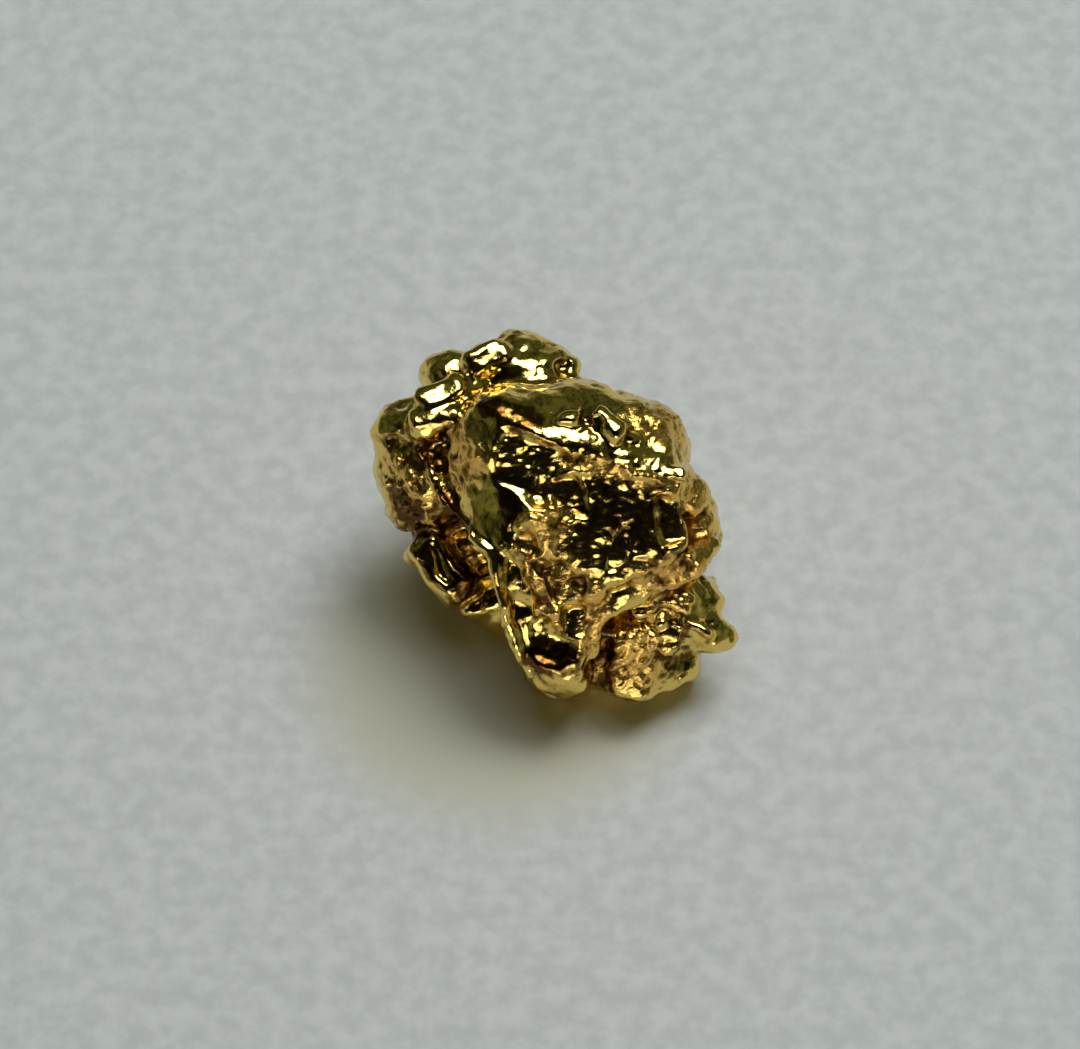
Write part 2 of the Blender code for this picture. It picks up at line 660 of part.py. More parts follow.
@dataclass(frozen=True)
class NuggetForm:
    """The whole nugget as a distance in mm from its skin, negative inside."""

    regions: tuple[Region, ...] = (CREST, KNUCKLES, DOME, LEFT_SIDE, FRONT_FOOT, SIDE, FRONT)
    back: Region = BACK
    back_block: Block = field(default_factory=lambda: BackBlock().block())
    warp: Warp = Warp()
    block_blend: float = 0.21
    back_blend: float = 0.27
    side_blend: float = 0.09
    rest_blend: float = REST_BLEND
    margin: float = 0.30  # how far round a feature its distance is worked out

    def shape(self, distance: Distances, points: Points, features: Sequence[Feature], use: Use) -> None:
        """Adds or cuts each feature, changing the distances in place.

        Args:
            distance: Distances to the form so far.
            points: The points that they belong to, in the features' frame.
            features: What to add or cut.
            use: Which of the two.
        """
        for feature in features:
            low, high = feature.box()
            reach = self.margin + feature.blend
            near = np.nonzero(np.all((points > low - reach) & (points < high + reach), axis=1))[0]
            if not len(near):
                continue
            measured = feature.distance(points[near])
            if use is Use.ADD:
                distance[near] = blend_union(distance[near], measured, feature.blend)
            else:
                distance[near] = blend_cut(distance[near], -measured, feature.blend)

    def distance(self, points: Points) -> Distances:
        """Distances of points of the standing frame."""
        lift = np.array([0.0, 0.0, FRAME_HEIGHT])
        sloping = self.warp.moved((points - lift) @ np.array(STANDING_TO_SLOPING).T)
        standing = sloping @ np.array(STANDING_TO_SLOPING) + lift
        distance = UPPER_BLOCK.distance(sloping)
        distance = blend_union(distance, LOWER_BLOCK.distance(sloping), self.block_blend)
        distance = blend_union(distance, self.back_block.distance(standing), self.back_blend)
        self.shape(distance, standing, self.back.masses, Use.ADD)
        self.shape(distance, standing, self.back.hollows, Use.CUT)
        for region in self.regions:
            self.shape(distance, sloping, region.masses, Use.ADD)
        distance = blend_union(distance, SIDE_BLOCK.distance(sloping), self.side_blend)
        for region in self.regions:
            self.shape(distance, sloping, region.hollows, Use.CUT)
        for region in self.regions:
            self.shape(distance, sloping, region.ridges, Use.ADD)
        for region in self.regions:
            self.shape(distance, sloping, region.pits, Use.CUT)
        return blend_cut(distance, -points[:, 2], self.rest_blend)

    def slope(self, points: Points, distance: Distances, reach: float = 0.008) -> Points:
        """How fast the distance grows in each direction.

        Args:
            points: Points of the standing frame.
            distance: Their distances.
            reach: Length of the step that it is measured over.

        Returns:
            One vector for each point.
        """
        result = np.empty_like(points)
        for axis in range(3):
            nudge = np.zeros(3)
            nudge[axis] = reach
            result[:, axis] = (self.distance(points + nudge) - distance) / reach
        return result


def add_block(mass: bmesh.types.BMesh, block: Block, place: Matrix) -> None:
    """Adds a cube cut down by each facet. Place takes the block's frame to the standing frame."""
    piece = bmesh.new()
    bmesh.ops.create_cube(piece, size=STOCK_SIZE)
    for facet in block.facets:
        geometry = piece.verts[:] + piece.edges[:] + piece.faces[:]
        cut = bmesh.ops.bisect_plane(
            piece, geom=geometry, plane_co=facet.at, plane_no=facet.facing, clear_outer=True
        )
        edges = [part for part in cut["geom_cut"] if isinstance(part, bmesh.types.BMEdge)]
        bmesh.ops.holes_fill(piece, edges=edges)
    bmesh.ops.recalc_face_normals(piece, faces=piece.faces[:])
    bmesh.ops.transform(piece, matrix=place, verts=piece.verts[:])
    mesh = bpy.data.meshes.new("block")
    piece.to_mesh(mesh)
    piece.free()
    mass.from_mesh(mesh)
    bpy.data.meshes.remove(mesh)


def add_strand(mass: bmesh.types.BMesh, strand: Strand, place: Matrix) -> None:
    """Adds a strand as a row of overlapping beads."""
    for start, end in zip(strand.points[:-1], strand.points[1:]):
        first, last = Vector(start[:3]), Vector(end[:3])
        beads = max(2, math.ceil((last - first).length / (0.5 * min(start[3], end[3]))))
        for index in range(beads + 1):
            share = index / beads
            radius = start[3] + (end[3] - start[3]) * share
            bead = place @ Matrix.Translation(first.lerp(last, share))
            bmesh.ops.create_icosphere(mass, subdivisions=2, radius=radius, matrix=bead)


def add_feature(mass: bmesh.types.BMesh, feature: Feature, place: Matrix) -> None:
    """Adds a lump, slab or strand."""
    if isinstance(feature, Strand):
        add_strand(mass, feature, place)
        return
    sizes = Matrix.Diagonal((*feature.half, 1.0))
    if isinstance(feature, Slab):
        turned = Matrix(feature.axes().tolist()).transposed().to_4x4()
        at = place @ Matrix.Translation(feature.at) @ turned @ sizes
        bmesh.ops.create_cube(mass, size=2.0, matrix=at)
        return
    turned = Matrix.Rotation(math.radians(feature.turn), 4, "Z")
    at = place @ Matrix.Translation(feature.at) @ turned @ sizes
    bmesh.ops.create_icosphere(mass, subdivisions=3, radius=1.0, matrix=at)


def rough_mass(form: NuggetForm) -> bpy.types.Object:
    """All that adds to the nugget, as overlapping solids in one mesh object."""
    upright = Matrix.Identity(4)
    leaning = Matrix.Translation((0.0, 0.0, FRAME_HEIGHT)) @ STANDING_TO_SLOPING.transposed().to_4x4()
    mass = bmesh.new()
    for block in (UPPER_BLOCK, LOWER_BLOCK, SIDE_BLOCK):
        add_block(mass, block, leaning)
    add_block(mass, form.back_block, upright)
    for region in (*form.regions, form.back):
        place = leaning if region.frame is Frame.SLOPING else upright
        for feature in region.masses + region.ridges:
            add_feature(mass, feature, place)
    mesh = bpy.data.meshes.new("nugget")
    mass.to_mesh(mesh)
    mass.free()
    return bpy.data.objects.new("nugget", mesh)


def bake_modifiers(nugget: bpy.types.Object) -> None:
    """Makes the modified mesh the object's own, and removes the modifiers."""
    bpy.context.view_layer.update()
    evaluated = nugget.evaluated_get(bpy.context.evaluated_depsgraph_get())
    baked = bpy.data.meshes.new_from_object(evaluated)
    previous = nugget.data
    nugget.modifiers.clear()
    nugget.data = baked
    bpy.data.meshes.remove(previous)
    baked.name = "nugget"


def fuse(nugget: bpy.types.Object, grid: float) -> None:
    """Fuses what overlaps into one skin of even faces."""
    remesh = nugget.modifiers.new("fuse", "REMESH")
    remesh.mode = "VOXEL"
    remesh.voxel_size = grid
    bake_modifiers(nugget)


def relax(nugget: bpy.types.Object) -> None:
    """Evens out stray vertices."""
    smooth = nugget.modifiers.new("relax", "SMOOTH")
    smooth.factor = RELAX_SHARE
    smooth.iterations = 1
    bake_modifiers(nugget)


def settle(nugget: bpy.types.Object, form: NuggetForm, rounds: int, longest_step: float) -> None:
    """Moves each vertex onto the form, and evens out the skin after each round."""
    for _ in range(rounds):
        points = np.empty(len(nugget.data.vertices) * 3)
        nugget.data.vertices.foreach_get("co", points)
        points = points.reshape(-1, 3)
        distance = form.distance(points)
        slope = form.slope(points, distance)
        steepness = np.maximum((slope**2).sum(axis=1), LEAST_STEEPNESS)
        step = slope * (distance / steepness)[:, None]
        length = np.linalg.norm(step, axis=1)
        share = np.minimum(1.0, longest_step / np.maximum(length, TINY))
        nugget.data.vertices.foreach_set("co", (points - step * share[:, None]).ravel())
        nugget.data.update()
        relax(nugget)


def thin_out(nugget: bpy.types.Object) -> None:
    """Brings the skin down to SKIN_TRIANGLES, fewest where it is flattest."""
    triangles = sum(len(face.vertices) - 2 for face in nugget.data.polygons)
    decimate = nugget.modifiers.new("thin out", "DECIMATE")
    decimate.ratio = SKIN_TRIANGLES / triangles
    decimate.use_collapse_triangulate = True
    bake_modifiers(nugget)


def plane_underside(nugget: bpy.types.Object) -> None:
    """Cuts the underside flat, sets it at z = 0, centres the nugget on it and scales it to metres."""
    skin = bmesh.new()
    skin.from_mesh(nugget.data)
    geometry = skin.verts[:] + skin.edges[:] + skin.faces[:]
    cut = bmesh.ops.bisect_plane(
        skin,
        geom=geometry,
        plane_co=(0.0, 0.0, REST_CUT),
        plane_no=(0.0, 0.0, 1.0),
        clear_inner=True,
    )
    edges = [part for part in cut["geom_cut"] if isinstance(part, bmesh.types.BMEdge)]
    resting = bmesh.ops.holes_fill(skin, edges=edges)["faces"]
    bmesh.ops.triangulate(skin, faces=resting)
    bmesh.ops.recalc_face_normals(skin, faces=skin.faces[:])
    corners = np.array([vertex.co[:] for vertex in skin.verts])
    middle = (corners.min(axis=0) + corners.max(axis=0)) / 2.0
    bmesh.ops.translate(skin, verts=skin.verts[:], vec=(-middle[0], -middle[1], -REST_CUT))
    bmesh.ops.scale(skin, verts=skin.verts[:], vec=(METRES, METRES, METRES))
    skin.to_mesh(nugget.data)
    skin.free()


def gold_material() -> bpy.types.Material:
    """Bright native gold."""
    material = bpy.data.materials.new("native gold")
    material.use_nodes = True
    surface = material.node_tree.nodes["Principled BSDF"]
    surface.inputs["Base Color"].default_value = GOLD
    surface.inputs["Metallic"].default_value = 1.0
    surface.inputs["Roughness"].default_value = GOLD_ROUGHNESS
    return material


def build_nugget(collection: bpy.types.Collection) -> None:
    """Makes the nugget in the collection."""
    noise.seed_set(WAVE_SEED)
    form = NuggetForm()
    nugget = rough_mass(form)
    collection.objects.link(nugget)
    fuse(nugget, COARSE_GRID)
    settle(nugget, form, rounds=4, longest_step=COARSE_GRID)
    for grid in (COARSE_GRID, FINE_GRID):
        fuse(nugget, grid)
        settle(nugget, form, rounds=3, longest_step=STEP_SHARE * grid)
    thin_out(nugget)
    plane_underside(nugget)
    nugget.data.materials.append(gold_material())
    nugget.data.shade_smooth()
    nugget.data.set_sharp_from_angle(angle=math.radians(SHARP_DEG))


def main() -> None:
    """Clears the scene and builds the nugget."""
    for scene_object in list(bpy.data.objects):
        bpy.data.objects.remove(scene_object, do_unlink=True)
    collection = bpy.data.collections.new("gold_nugget")
    bpy.context.scene.collection.children.link(collection)
    build_nugget(collection)


main()
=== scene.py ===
"""Dresses the gold nugget: its fine skin, its metal, the paper that it lies on and the studio.

Sizes are millimetres unless a name says otherwise, and a mesh is scaled to metres when it is made.
Two frames are used. The standing frame has +Z up from the resting face. The sloping frame lies along
the nugget's broad front face: x to the right, y up the slope and w out of it.
"""

import logging
import math
from dataclasses import dataclass, field
from enum import Enum
from typing import Any, Sequence, Union

import bmesh
import bpy
import numpy as np
from mathutils import Matrix, Vector, noise


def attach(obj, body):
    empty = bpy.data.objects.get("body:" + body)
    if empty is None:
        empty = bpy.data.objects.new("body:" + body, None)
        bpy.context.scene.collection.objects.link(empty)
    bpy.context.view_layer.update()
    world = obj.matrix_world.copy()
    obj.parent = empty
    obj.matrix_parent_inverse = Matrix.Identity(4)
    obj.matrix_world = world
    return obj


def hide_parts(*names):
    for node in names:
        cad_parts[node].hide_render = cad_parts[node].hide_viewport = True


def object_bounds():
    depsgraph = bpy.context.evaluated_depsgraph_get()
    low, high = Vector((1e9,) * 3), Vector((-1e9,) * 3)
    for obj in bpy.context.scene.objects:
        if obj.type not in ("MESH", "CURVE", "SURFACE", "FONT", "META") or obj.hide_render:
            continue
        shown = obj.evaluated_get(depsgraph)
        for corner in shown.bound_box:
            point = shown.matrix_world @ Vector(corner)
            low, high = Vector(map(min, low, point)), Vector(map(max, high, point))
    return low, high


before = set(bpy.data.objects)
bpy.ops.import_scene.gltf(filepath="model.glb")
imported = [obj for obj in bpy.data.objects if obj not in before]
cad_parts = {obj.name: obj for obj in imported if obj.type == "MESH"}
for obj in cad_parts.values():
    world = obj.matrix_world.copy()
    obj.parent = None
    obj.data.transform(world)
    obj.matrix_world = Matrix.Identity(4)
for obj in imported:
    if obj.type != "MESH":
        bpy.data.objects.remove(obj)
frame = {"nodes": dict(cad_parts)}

CAD_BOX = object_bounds()
LOG = logging.getLogger("gold_nugget")

METRES = 0.001
IMAGE_WIDTH = 1080
PIXEL = 0.015  # width of one pixel of the rendered image, in mm at the nugget
SLOPE_DEG = 52.0  # how far the front face leans back from upright, and the camera's elevation
FRAME_HEIGHT = 2.04  # the sloping frame's origin above the resting face
FAR = 10.0
TINY = 1e-9
WAVE_SEED = 7
FILL_SHARE = 0.25  # depth of the fill where two forms meet, as a share of its width
BEAD_SPACING = 0.5  # from one bead of a strand to the next, as a share of its radius
PATCH_END = 1.5  # where a patch of skin ends, as a share of its half sizes
BAND_END = 2.0  # where a band of skin ends, as a share of its half width
BEAD_DETAIL = 2
LUMP_DETAIL = 3
WAVES = ((0.45, 0.085, 0.030, 3.0), (0.18, 0.025, 0.006, 11.0))  # length, sideways, height, offset

SLOPE_SIN = math.sin(math.radians(SLOPE_DEG))
SLOPE_COS = math.cos(math.radians(SLOPE_DEG))
STANDING_TO_SLOPING = Matrix(((1.0, 0.0, 0.0), (0.0, SLOPE_SIN, SLOPE_COS), (0.0, -SLOPE_COS, SLOPE_SIN)))
SLOPING_ORIGIN = np.array((0.0, 0.0, FRAME_HEIGHT))  # in the standing frame

Points = np.ndarray
Distances = np.ndarray
Operand = Union["Signal", float, int]
Pair = tuple[float, float]
Triple = tuple[float, float, float]
Colour = tuple[float, float, float, float]


# Form: the nugget as a distance, built from facets, lumps and strands


class Frame(Enum):
    """The frame that a feature's numbers are in."""

    SLOPING = "sloping"
    STANDING = "standing"


class Use(Enum):
    """What a feature does to the form."""

    ADD = "add"
    CUT = "cut"


def blend_union(first: Distances, second: Distances, width: float) -> Distances:
    """Joins two forms and fills their crease.

    Args:
        first: Distances to one form.
        second: Distances to the other.
        width: Width of the fill.

    Returns:
        Distances to both together.
    """
    crease = np.maximum(width - np.abs(first - second), 0.0) / width
    return np.minimum(first, second) - crease * crease * width * FILL_SHARE


def blend_cut(first: Distances, second: Distances, width: float) -> Distances:
    """Keeps what both forms share and rounds their edge.

    Args:
        first: Distances to one form.
        second: Distances to the other.
        width: Width of the rounding.

    Returns:
        Distances to what they share.
    """
    return -blend_union(-first, -second, width)


def smooth_share(share: np.ndarray) -> np.ndarray:
    """Eases numbers between 0 and 1, which are clipped first."""
    share = np.clip(share, 0.0, 1.0)
    return share * share * (3.0 - 2.0 * share)


def to_sloping(points: Points) -> Points:
    """Points of the standing frame in the sloping frame."""
    return (points - SLOPING_ORIGIN) @ np.array(STANDING_TO_SLOPING).T


@dataclass(frozen=True)
class Facet:
    """A flat face: a point on it and the way it faces."""

    at: Triple
    facing: Triple

    def distance(self, points: Points) -> Distances:
        """Depth in front of the face."""
        facing = np.array(self.facing) / np.linalg.norm(self.facing)
        return (points - np.array(self.at)) @ facing


@dataclass(frozen=True)
class Block:
    """A convex block, the space behind all its facets, with rounded edges."""

    facets: tuple[Facet, ...]
    rounding: float

    def distance(self, points: Points) -> Distances:
        """Distance to the block."""
        distance = self.facets[0].distance(points)
        for facet in self.facets[1:]:
            distance = blend_cut(distance, facet.distance(points), self.rounding)
        return distance


@dataclass(frozen=True)
class Lump:
    """An ellipsoid: centre, half sizes, turn in degrees about the third axis, width of its blend."""

    name: str
    at: Triple
    half: Triple
    turn: float
    blend: float

    def box(self) -> tuple[np.ndarray, np.ndarray]:
        """Lowest and highest corner of what holds it."""
        reach = max(self.half)
        return np.array(self.at) - reach, np.array(self.at) + reach

    def distance(self, points: Points) -> Distances:
        """Distance to the ellipsoid."""
        turn = math.radians(self.turn)
        offset = points - np.array(self.at)
        along = offset[:, 0] * math.cos(turn) + offset[:, 1] * math.sin(turn)
        across = offset[:, 1] * math.cos(turn) - offset[:, 0] * math.sin(turn)
        local = np.stack([along, across, offset[:, 2]], axis=1)
        half = np.array(self.half)
        reach = np.linalg.norm(local / half, axis=1)
        slope = np.linalg.norm(local / half**2, axis=1)
        return reach * (reach - 1.0) / np.maximum(slope, TINY)


@dataclass(frozen=True)
class Strand:
    """A rope-like ridge or groove: points of x, y, depth and radius, and the width of its blend."""

    name: str
    points: tuple[tuple[float, float, float, float], ...]
    blend: float

    def box(self) -> tuple[np.ndarray, np.ndarray]:
        """Lowest and highest corner of what holds it."""
        stops = np.array(self.points)
        reach = stops[:, 3].max()
        return stops[:, :3].min(axis=0) - reach, stops[:, :3].max(axis=0) + reach

    def distance(self, points: Points) -> Distances:
        """Distance to a chain of tapering rods through the strand's points."""
        nearest = np.full(len(points), np.inf)
        for start, end in zip(self.points[:-1], self.points[1:]):
            origin = np.array(start[:3])
            run = np.array(end[:3]) - origin
            along = np.clip((points - origin) @ run / (run @ run), 0.0, 1.0)
            radius = start[3] + (end[3] - start[3]) * along
            gap = np.linalg.norm(points - origin - along[:, None] * run, axis=1) - radius
            nearest = np.minimum(nearest, gap)
        return nearest


@dataclass(frozen=True)
class Slab:
    """A rounded box: centre, half sizes, the way its flat front faces, its turn, rounding and blend."""

    name: str
    at: Triple
    half: Triple
    facing: Triple
    turn: float
    rounding: float
    blend: float

    def box(self) -> tuple[np.ndarray, np.ndarray]:
        """Lowest and highest corner of what holds it."""
        reach = math.hypot(*self.half)
        return np.array(self.at) - reach, np.array(self.at) + reach

    def axes(self) -> np.ndarray:
        """Its three directions as rows: along, across and the way that it faces."""
        front = Vector(self.facing).normalized()
        along = Vector((math.cos(math.radians(self.turn)), math.sin(math.radians(self.turn)), 0.0))
        along = (along - front * along.dot(front)).normalized()
        return np.array([along[:], front.cross(along)[:], front[:]])

    def distance(self, points: Points) -> Distances:
        """Distance to the slab."""
        local = (points - np.array(self.at)) @ self.axes().T
        beyond = np.abs(local) - (np.array(self.half) - self.rounding)
        outside = np.linalg.norm(np.maximum(beyond, 0.0), axis=1)
        return outside + np.minimum(beyond.max(axis=1), 0.0) - self.rounding


Feature = Union[Lump, Strand, Slab]


@dataclass(frozen=True)
class Region:
    """One part of the nugget: what is added to the form, then cut, laid over it and cut again."""

    frame: Frame
    masses: tuple[Feature, ...] = ()
    hollows: tuple[Feature, ...] = ()
    ridges: tuple[Feature, ...] = ()
    pits: tuple[Feature, ...] = ()


@dataclass(frozen=True)
class BackBlock:
    """The rounded mass behind the front face: heading, rise and distance of each of its facets."""

    centre: Triple = (0.27, 0.75, 1.83)
    rounding: float = 0.33
    facets: tuple[Triple, ...] = (
        (105, 8, 1.68),
        (140, 28, 1.50),
        (178, 12, 1.38),
        (215, 30, 1.47),
        (250, 6, 1.59),
        (160, -28, 1.50),
        (205, -30, 1.47),
        (95, -35, 1.68),
        (262, -32, 1.68),
        (178, 58, 1.29),
        (120, 62, 1.44),
        (235, 62, 1.44),
        (0, 0, 0.90),
        (60, -20, 1.50),
        (300, -20, 1.50),
        (0, 80, 0.90),
        (0, -80, 1.77),
    )

    def block(self) -> Block:
        """The mass as a block of the standing frame."""
        centre = Vector(self.centre)
        faces = []
        for azimuth, rise, distance in self.facets:
            facing = heading(azimuth, rise)
            faces.append(Facet(tuple(centre + facing * distance), tuple(facing)))
        return Block(tuple(faces), self.rounding)


def heading(azimuth_deg: float, rise_deg: float) -> Vector:
    """A direction of the standing frame.

    Args:
        azimuth_deg: 0 is the front, 90 the right.
        rise_deg: How far it points up.

    Returns:
        Its unit vector.
    """
    azimuth = math.radians(azimuth_deg)
    rise = math.radians(rise_deg)
    level = math.cos(rise)
    return Vector((math.sin(azimuth) * level, -math.cos(azimuth) * level, math.sin(rise)))


UPPER_BLOCK = Block(
    (
        Facet((0.82, 0.22, 1.77), (0.04, -0.02, 1.00)),
        Facet((0.52, 1.02, 1.78), (0.20, 0.57, 0.79)),
        Facet((-0.15, 1.95, 1.17), (0.10, 0.85, 0.50)),
        Facet((-0.15, -0.45, 1.69), (-0.06, -0.26, 0.96)),
        Facet((-0.85, -0.10, 1.60), (-0.36, -0.08, 0.93)),
        Facet((-1.27, 0.79, 1.44), (-0.75, -0.08, 0.66)),
        Facet((1.88, 0.53, 1.47), (0.75, 0.15, 0.64)),
        Facet((2.35, 0.00, 0.60), (0.95, 0.25, 0.00)),
        Facet((1.69, 1.40, 0.45), (0.78, 0.62, 0.00)),
        Facet((0.79, 1.91, 0.45), (0.41, 0.91, 0.05)),
        Facet((-0.38, 1.96, 0.90), (-0.12, 0.98, 0.15)),
        Facet((-1.50, 1.27, 0.75), (-0.89, 0.45, 0.00)),
        Facet((-1.27, -0.16, 0.90), (-0.86, -0.51, -0.06)),
        Facet((1.57, -0.85, 0.90), (0.41, -0.91, 0.10)),
        Facet((-0.22, -1.27, 0.90), (-0.30, -0.95, 0.00)),
        Facet((0.67, 0.22, -1.35), (0.17, 0.66, -0.73)),
        Facet((0.67, 0.22, -0.90), (0.88, 0.04, -0.47)),
        Facet((-0.82, 0.22, -0.90), (-0.91, 0.10, -0.41)),
        Facet((0.00, 0.22, -1.65), (0.00, 0.00, -1.00)),
    ),
    rounding=0.18,
)

LOWER_BLOCK = Block(
    (
        Facet((-0.04, -1.12, 1.54), (-0.02, -0.24, 0.97)),
        Facet((-0.22, -1.88, 1.29), (-0.10, -0.10, 0.99)),
        Facet((-0.10, -2.47, 1.08), (-0.05, -0.84, 0.54)),
        Facet((-0.88, -1.43, 0.60), (-0.98, -0.12, -0.05)),
        Facet((-1.02, -0.77, 1.05), (-0.90, -0.42, -0.05)),
        Facet((-0.52, -2.26, 0.15), (-0.86, -0.51, 0.00)),
        Facet((-0.02, -2.74, 0.15), (-0.10, -0.99, 0.00)),
        Facet((0.20, -2.76, 0.15), (0.35, -0.93, 0.00)),
        Facet((0.61, -1.88, 0.45), (0.97, -0.15, 0.20)),
        Facet((0.00, -0.38, -0.90), (0.00, 0.00, -1.00)),
        Facet((0.00, -0.07, 0.00), (0.00, 1.00, 0.00)),
    ),
    rounding=0.15,
)

SIDE_BLOCK = Block(
    (
        Facet((1.19, -2.10, 0.84), (-0.05, -0.35, 0.94)),
        Facet((0.78, -2.02, 0.45), (-0.98, 0.00, 0.20)),
        Facet((1.09, -2.76, 0.15), (-0.25, -0.97, 0.00)),
        Facet((1.75, -2.62, 0.15), (0.36, -0.93, 0.00)),
        Facet((1.81, -1.88, 0.54), (0.55, -0.25, 0.80)),
        Facet((1.27, -1.45, 0.60), (-0.10, 0.80, 0.60)),
        Facet((1.27, -1.88, -0.75), (0.00, 0.00, -1.00)),
        Facet((2.25, -1.88, 0.00), (1.00, -0.20, 0.00)),
        Facet((1.43, -0.90, 0.00), (0.00, 1.00, 0.00)),
    ),
    rounding=0.09,
)

CREST = Region(
    Frame.SLOPING,
    masses=(
        Lump("crest left", (-1.03, 2.30, 0.10), (0.40, 0.26, 0.33), 40, 0.09),
        Slab("crest left flat", (-1.04, 2.34, 0.24), (0.36, 0.22, 0.24), (0.05, 0.33, 0.94), 33, 0.12, 0.06),
        Lump("crest top", (-0.50, 2.37, -0.14), (0.50, 0.46, 0.44), 0, 0.12),
        Lump("crest right", (-0.12, 2.26, -0.04), (0.32, 0.36, 0.40), -35, 0.09),
        Lump("crest end", (0.16, 2.21, -0.06), (0.18, 0.22, 0.21), 0, 0.06),
        Lump("crest root", (-0.53, 1.72, -0.36), (0.96, 0.60, 0.66), 0, 0.15),
        Lump("crest apron", (-0.50, 2.13, 0.05), (0.66, 0.34, 0.42), 0, 0.15),
        Lump("far knob", (-1.60, 2.11, -0.51), (0.47, 0.43, 0.42), 0, 0.12),
        Lump("shoulder back", (0.58, 1.75, 0.15), (0.54, 0.27, 0.45), -30, 0.12),
    ),
    pits=(
        Lump("crest end pit", (0.16, 2.23, 0.27), (0.14, 0.14, 0.15), 0, 0.04),
        Strand(
            "crest valley",
            (
                (-1.30, 1.84, 0.90, 0.10),
                (-0.90, 2.08, 0.75, 0.09),
                (-0.30, 2.06, 0.74, 0.07),
                (0.26, 1.93, 0.72, 0.09),
            ),
            0.07,
        ),
        Strand("crest nick", ((-0.86, 2.62, 0.30, 0.05), (-0.78, 2.30, 0.38, 0.04)), 0.05),
    ),
)

KNUCKLES = Region(
    Frame.SLOPING,
    masses=(
        Lump("far left knob", (-2.34, 1.30, 0.09), (0.40, 0.43, 0.45), 0, 0.12),
        Lump("knuckle root", (-1.88, 1.35, 0.05), (0.60, 0.51, 0.51), 15, 0.12),
        Slab("upper knuckle", (-1.70, 1.79, 0.53), (0.41, 0.22, 0.34), (0.04, 0.35, 0.94), 28, 0.19, 0.10),
        Slab("lower knuckle", (-1.80, 1.40, 0.61), (0.47, 0.23, 0.34), (-0.04, 0.33, 0.94), 13, 0.20, 0.10),
    ),
    ridges=(
        Lump("knuckle bead left", (-1.62, 0.89, 0.75), (0.09, 0.09, 0.12), 0, 0.03),
        Lump("knuckle bead right", (-1.50, 0.77, 0.78), (0.09, 0.09, 0.12), 0, 0.03),
        Lump("knuckle bead low", (-1.58, 0.72, 0.74), (0.06, 0.06, 0.09), 0, 0.03),
        Lump("saddle bead", (-1.21, 1.12, 1.26), (0.07, 0.15, 0.12), 0, 0.03),
        Strand(
            "bead ridge",
            ((-2.03, 1.14, 0.66, 0.05), (-2.05, 0.98, 0.66, 0.06), (-1.97, 0.86, 0.68, 0.05)),
            0.05,
        ),
    ),
    pits=(
        Lump("under the far left knob", (-2.32, 1.02, 0.51), (0.27, 0.14, 0.21), -25, 0.06),
        Lump("knuckle pit left", (-1.84, 1.03, 0.78), (0.15, 0.12, 0.18), 0, 0.04),
        Lump("knuckle pit right", (-1.58, 1.19, 0.86), (0.12, 0.10, 0.18), 0, 0.04),
        Strand("saddle", ((-1.40, 1.72, 0.99, 0.10), (-1.30, 1.12, 1.20, 0.09)), 0.06),
    ),
)

DOME = Region(
    Frame.SLOPING,
    masses=(
        Lump("dome", (-0.50, 1.00, 0.87), (1.02, 0.92, 0.90), 0, 0.18),
        Lump("shoulder", (1.39, 1.18, 0.45), (0.72, 0.53, 0.90), -38, 0.18),
        Lump("right lobe", (2.10, -0.14, 0.21), (0.40, 0.60, 0.60), 12, 0.15),
        Strand(
            "brow",
            (
                (-0.62, 1.08, 1.28, 0.28),
                (-0.18, 1.13, 1.30, 0.44),
                (0.38, 0.98, 1.26, 0.53),
                (0.95, 0.74, 1.24, 0.54),
                (1.50, 0.54, 1.22, 0.46),
                (2.00, 0.28, 1.06, 0.32),
            ),
            0.08,
        ),
    ),
    ridges=(
        Slab("brow nodule", (0.80, 1.36, 1.59), (0.31, 0.19, 0.19), (0.05, 0.33, 0.94), -42, 0.13, 0.08),
        Slab("dome nodule", (0.18, 1.43, 1.61), (0.18, 0.14, 0.16), (0.05, 0.36, 0.93), -15, 0.12, 0.09),
        Slab("rim nodule", (1.66, 0.66, 1.52), (0.28, 0.13, 0.16), (0.10, 0.30, 0.95), -12, 0.06, 0.05),
    ),
    pits=(
        Lump("ledge pit", (0.60, 1.36, 1.72), (0.09, 0.16, 0.14), -15, 0.04),
        Lump("right notch", (2.28, -0.72, 0.75), (0.15, 0.14, 0.30), 20, 0.06),
        Lump("shoulder pit", (1.20, 1.15, 1.50), (0.20, 0.12, 0.16), -30, 0.06),
    ),
)

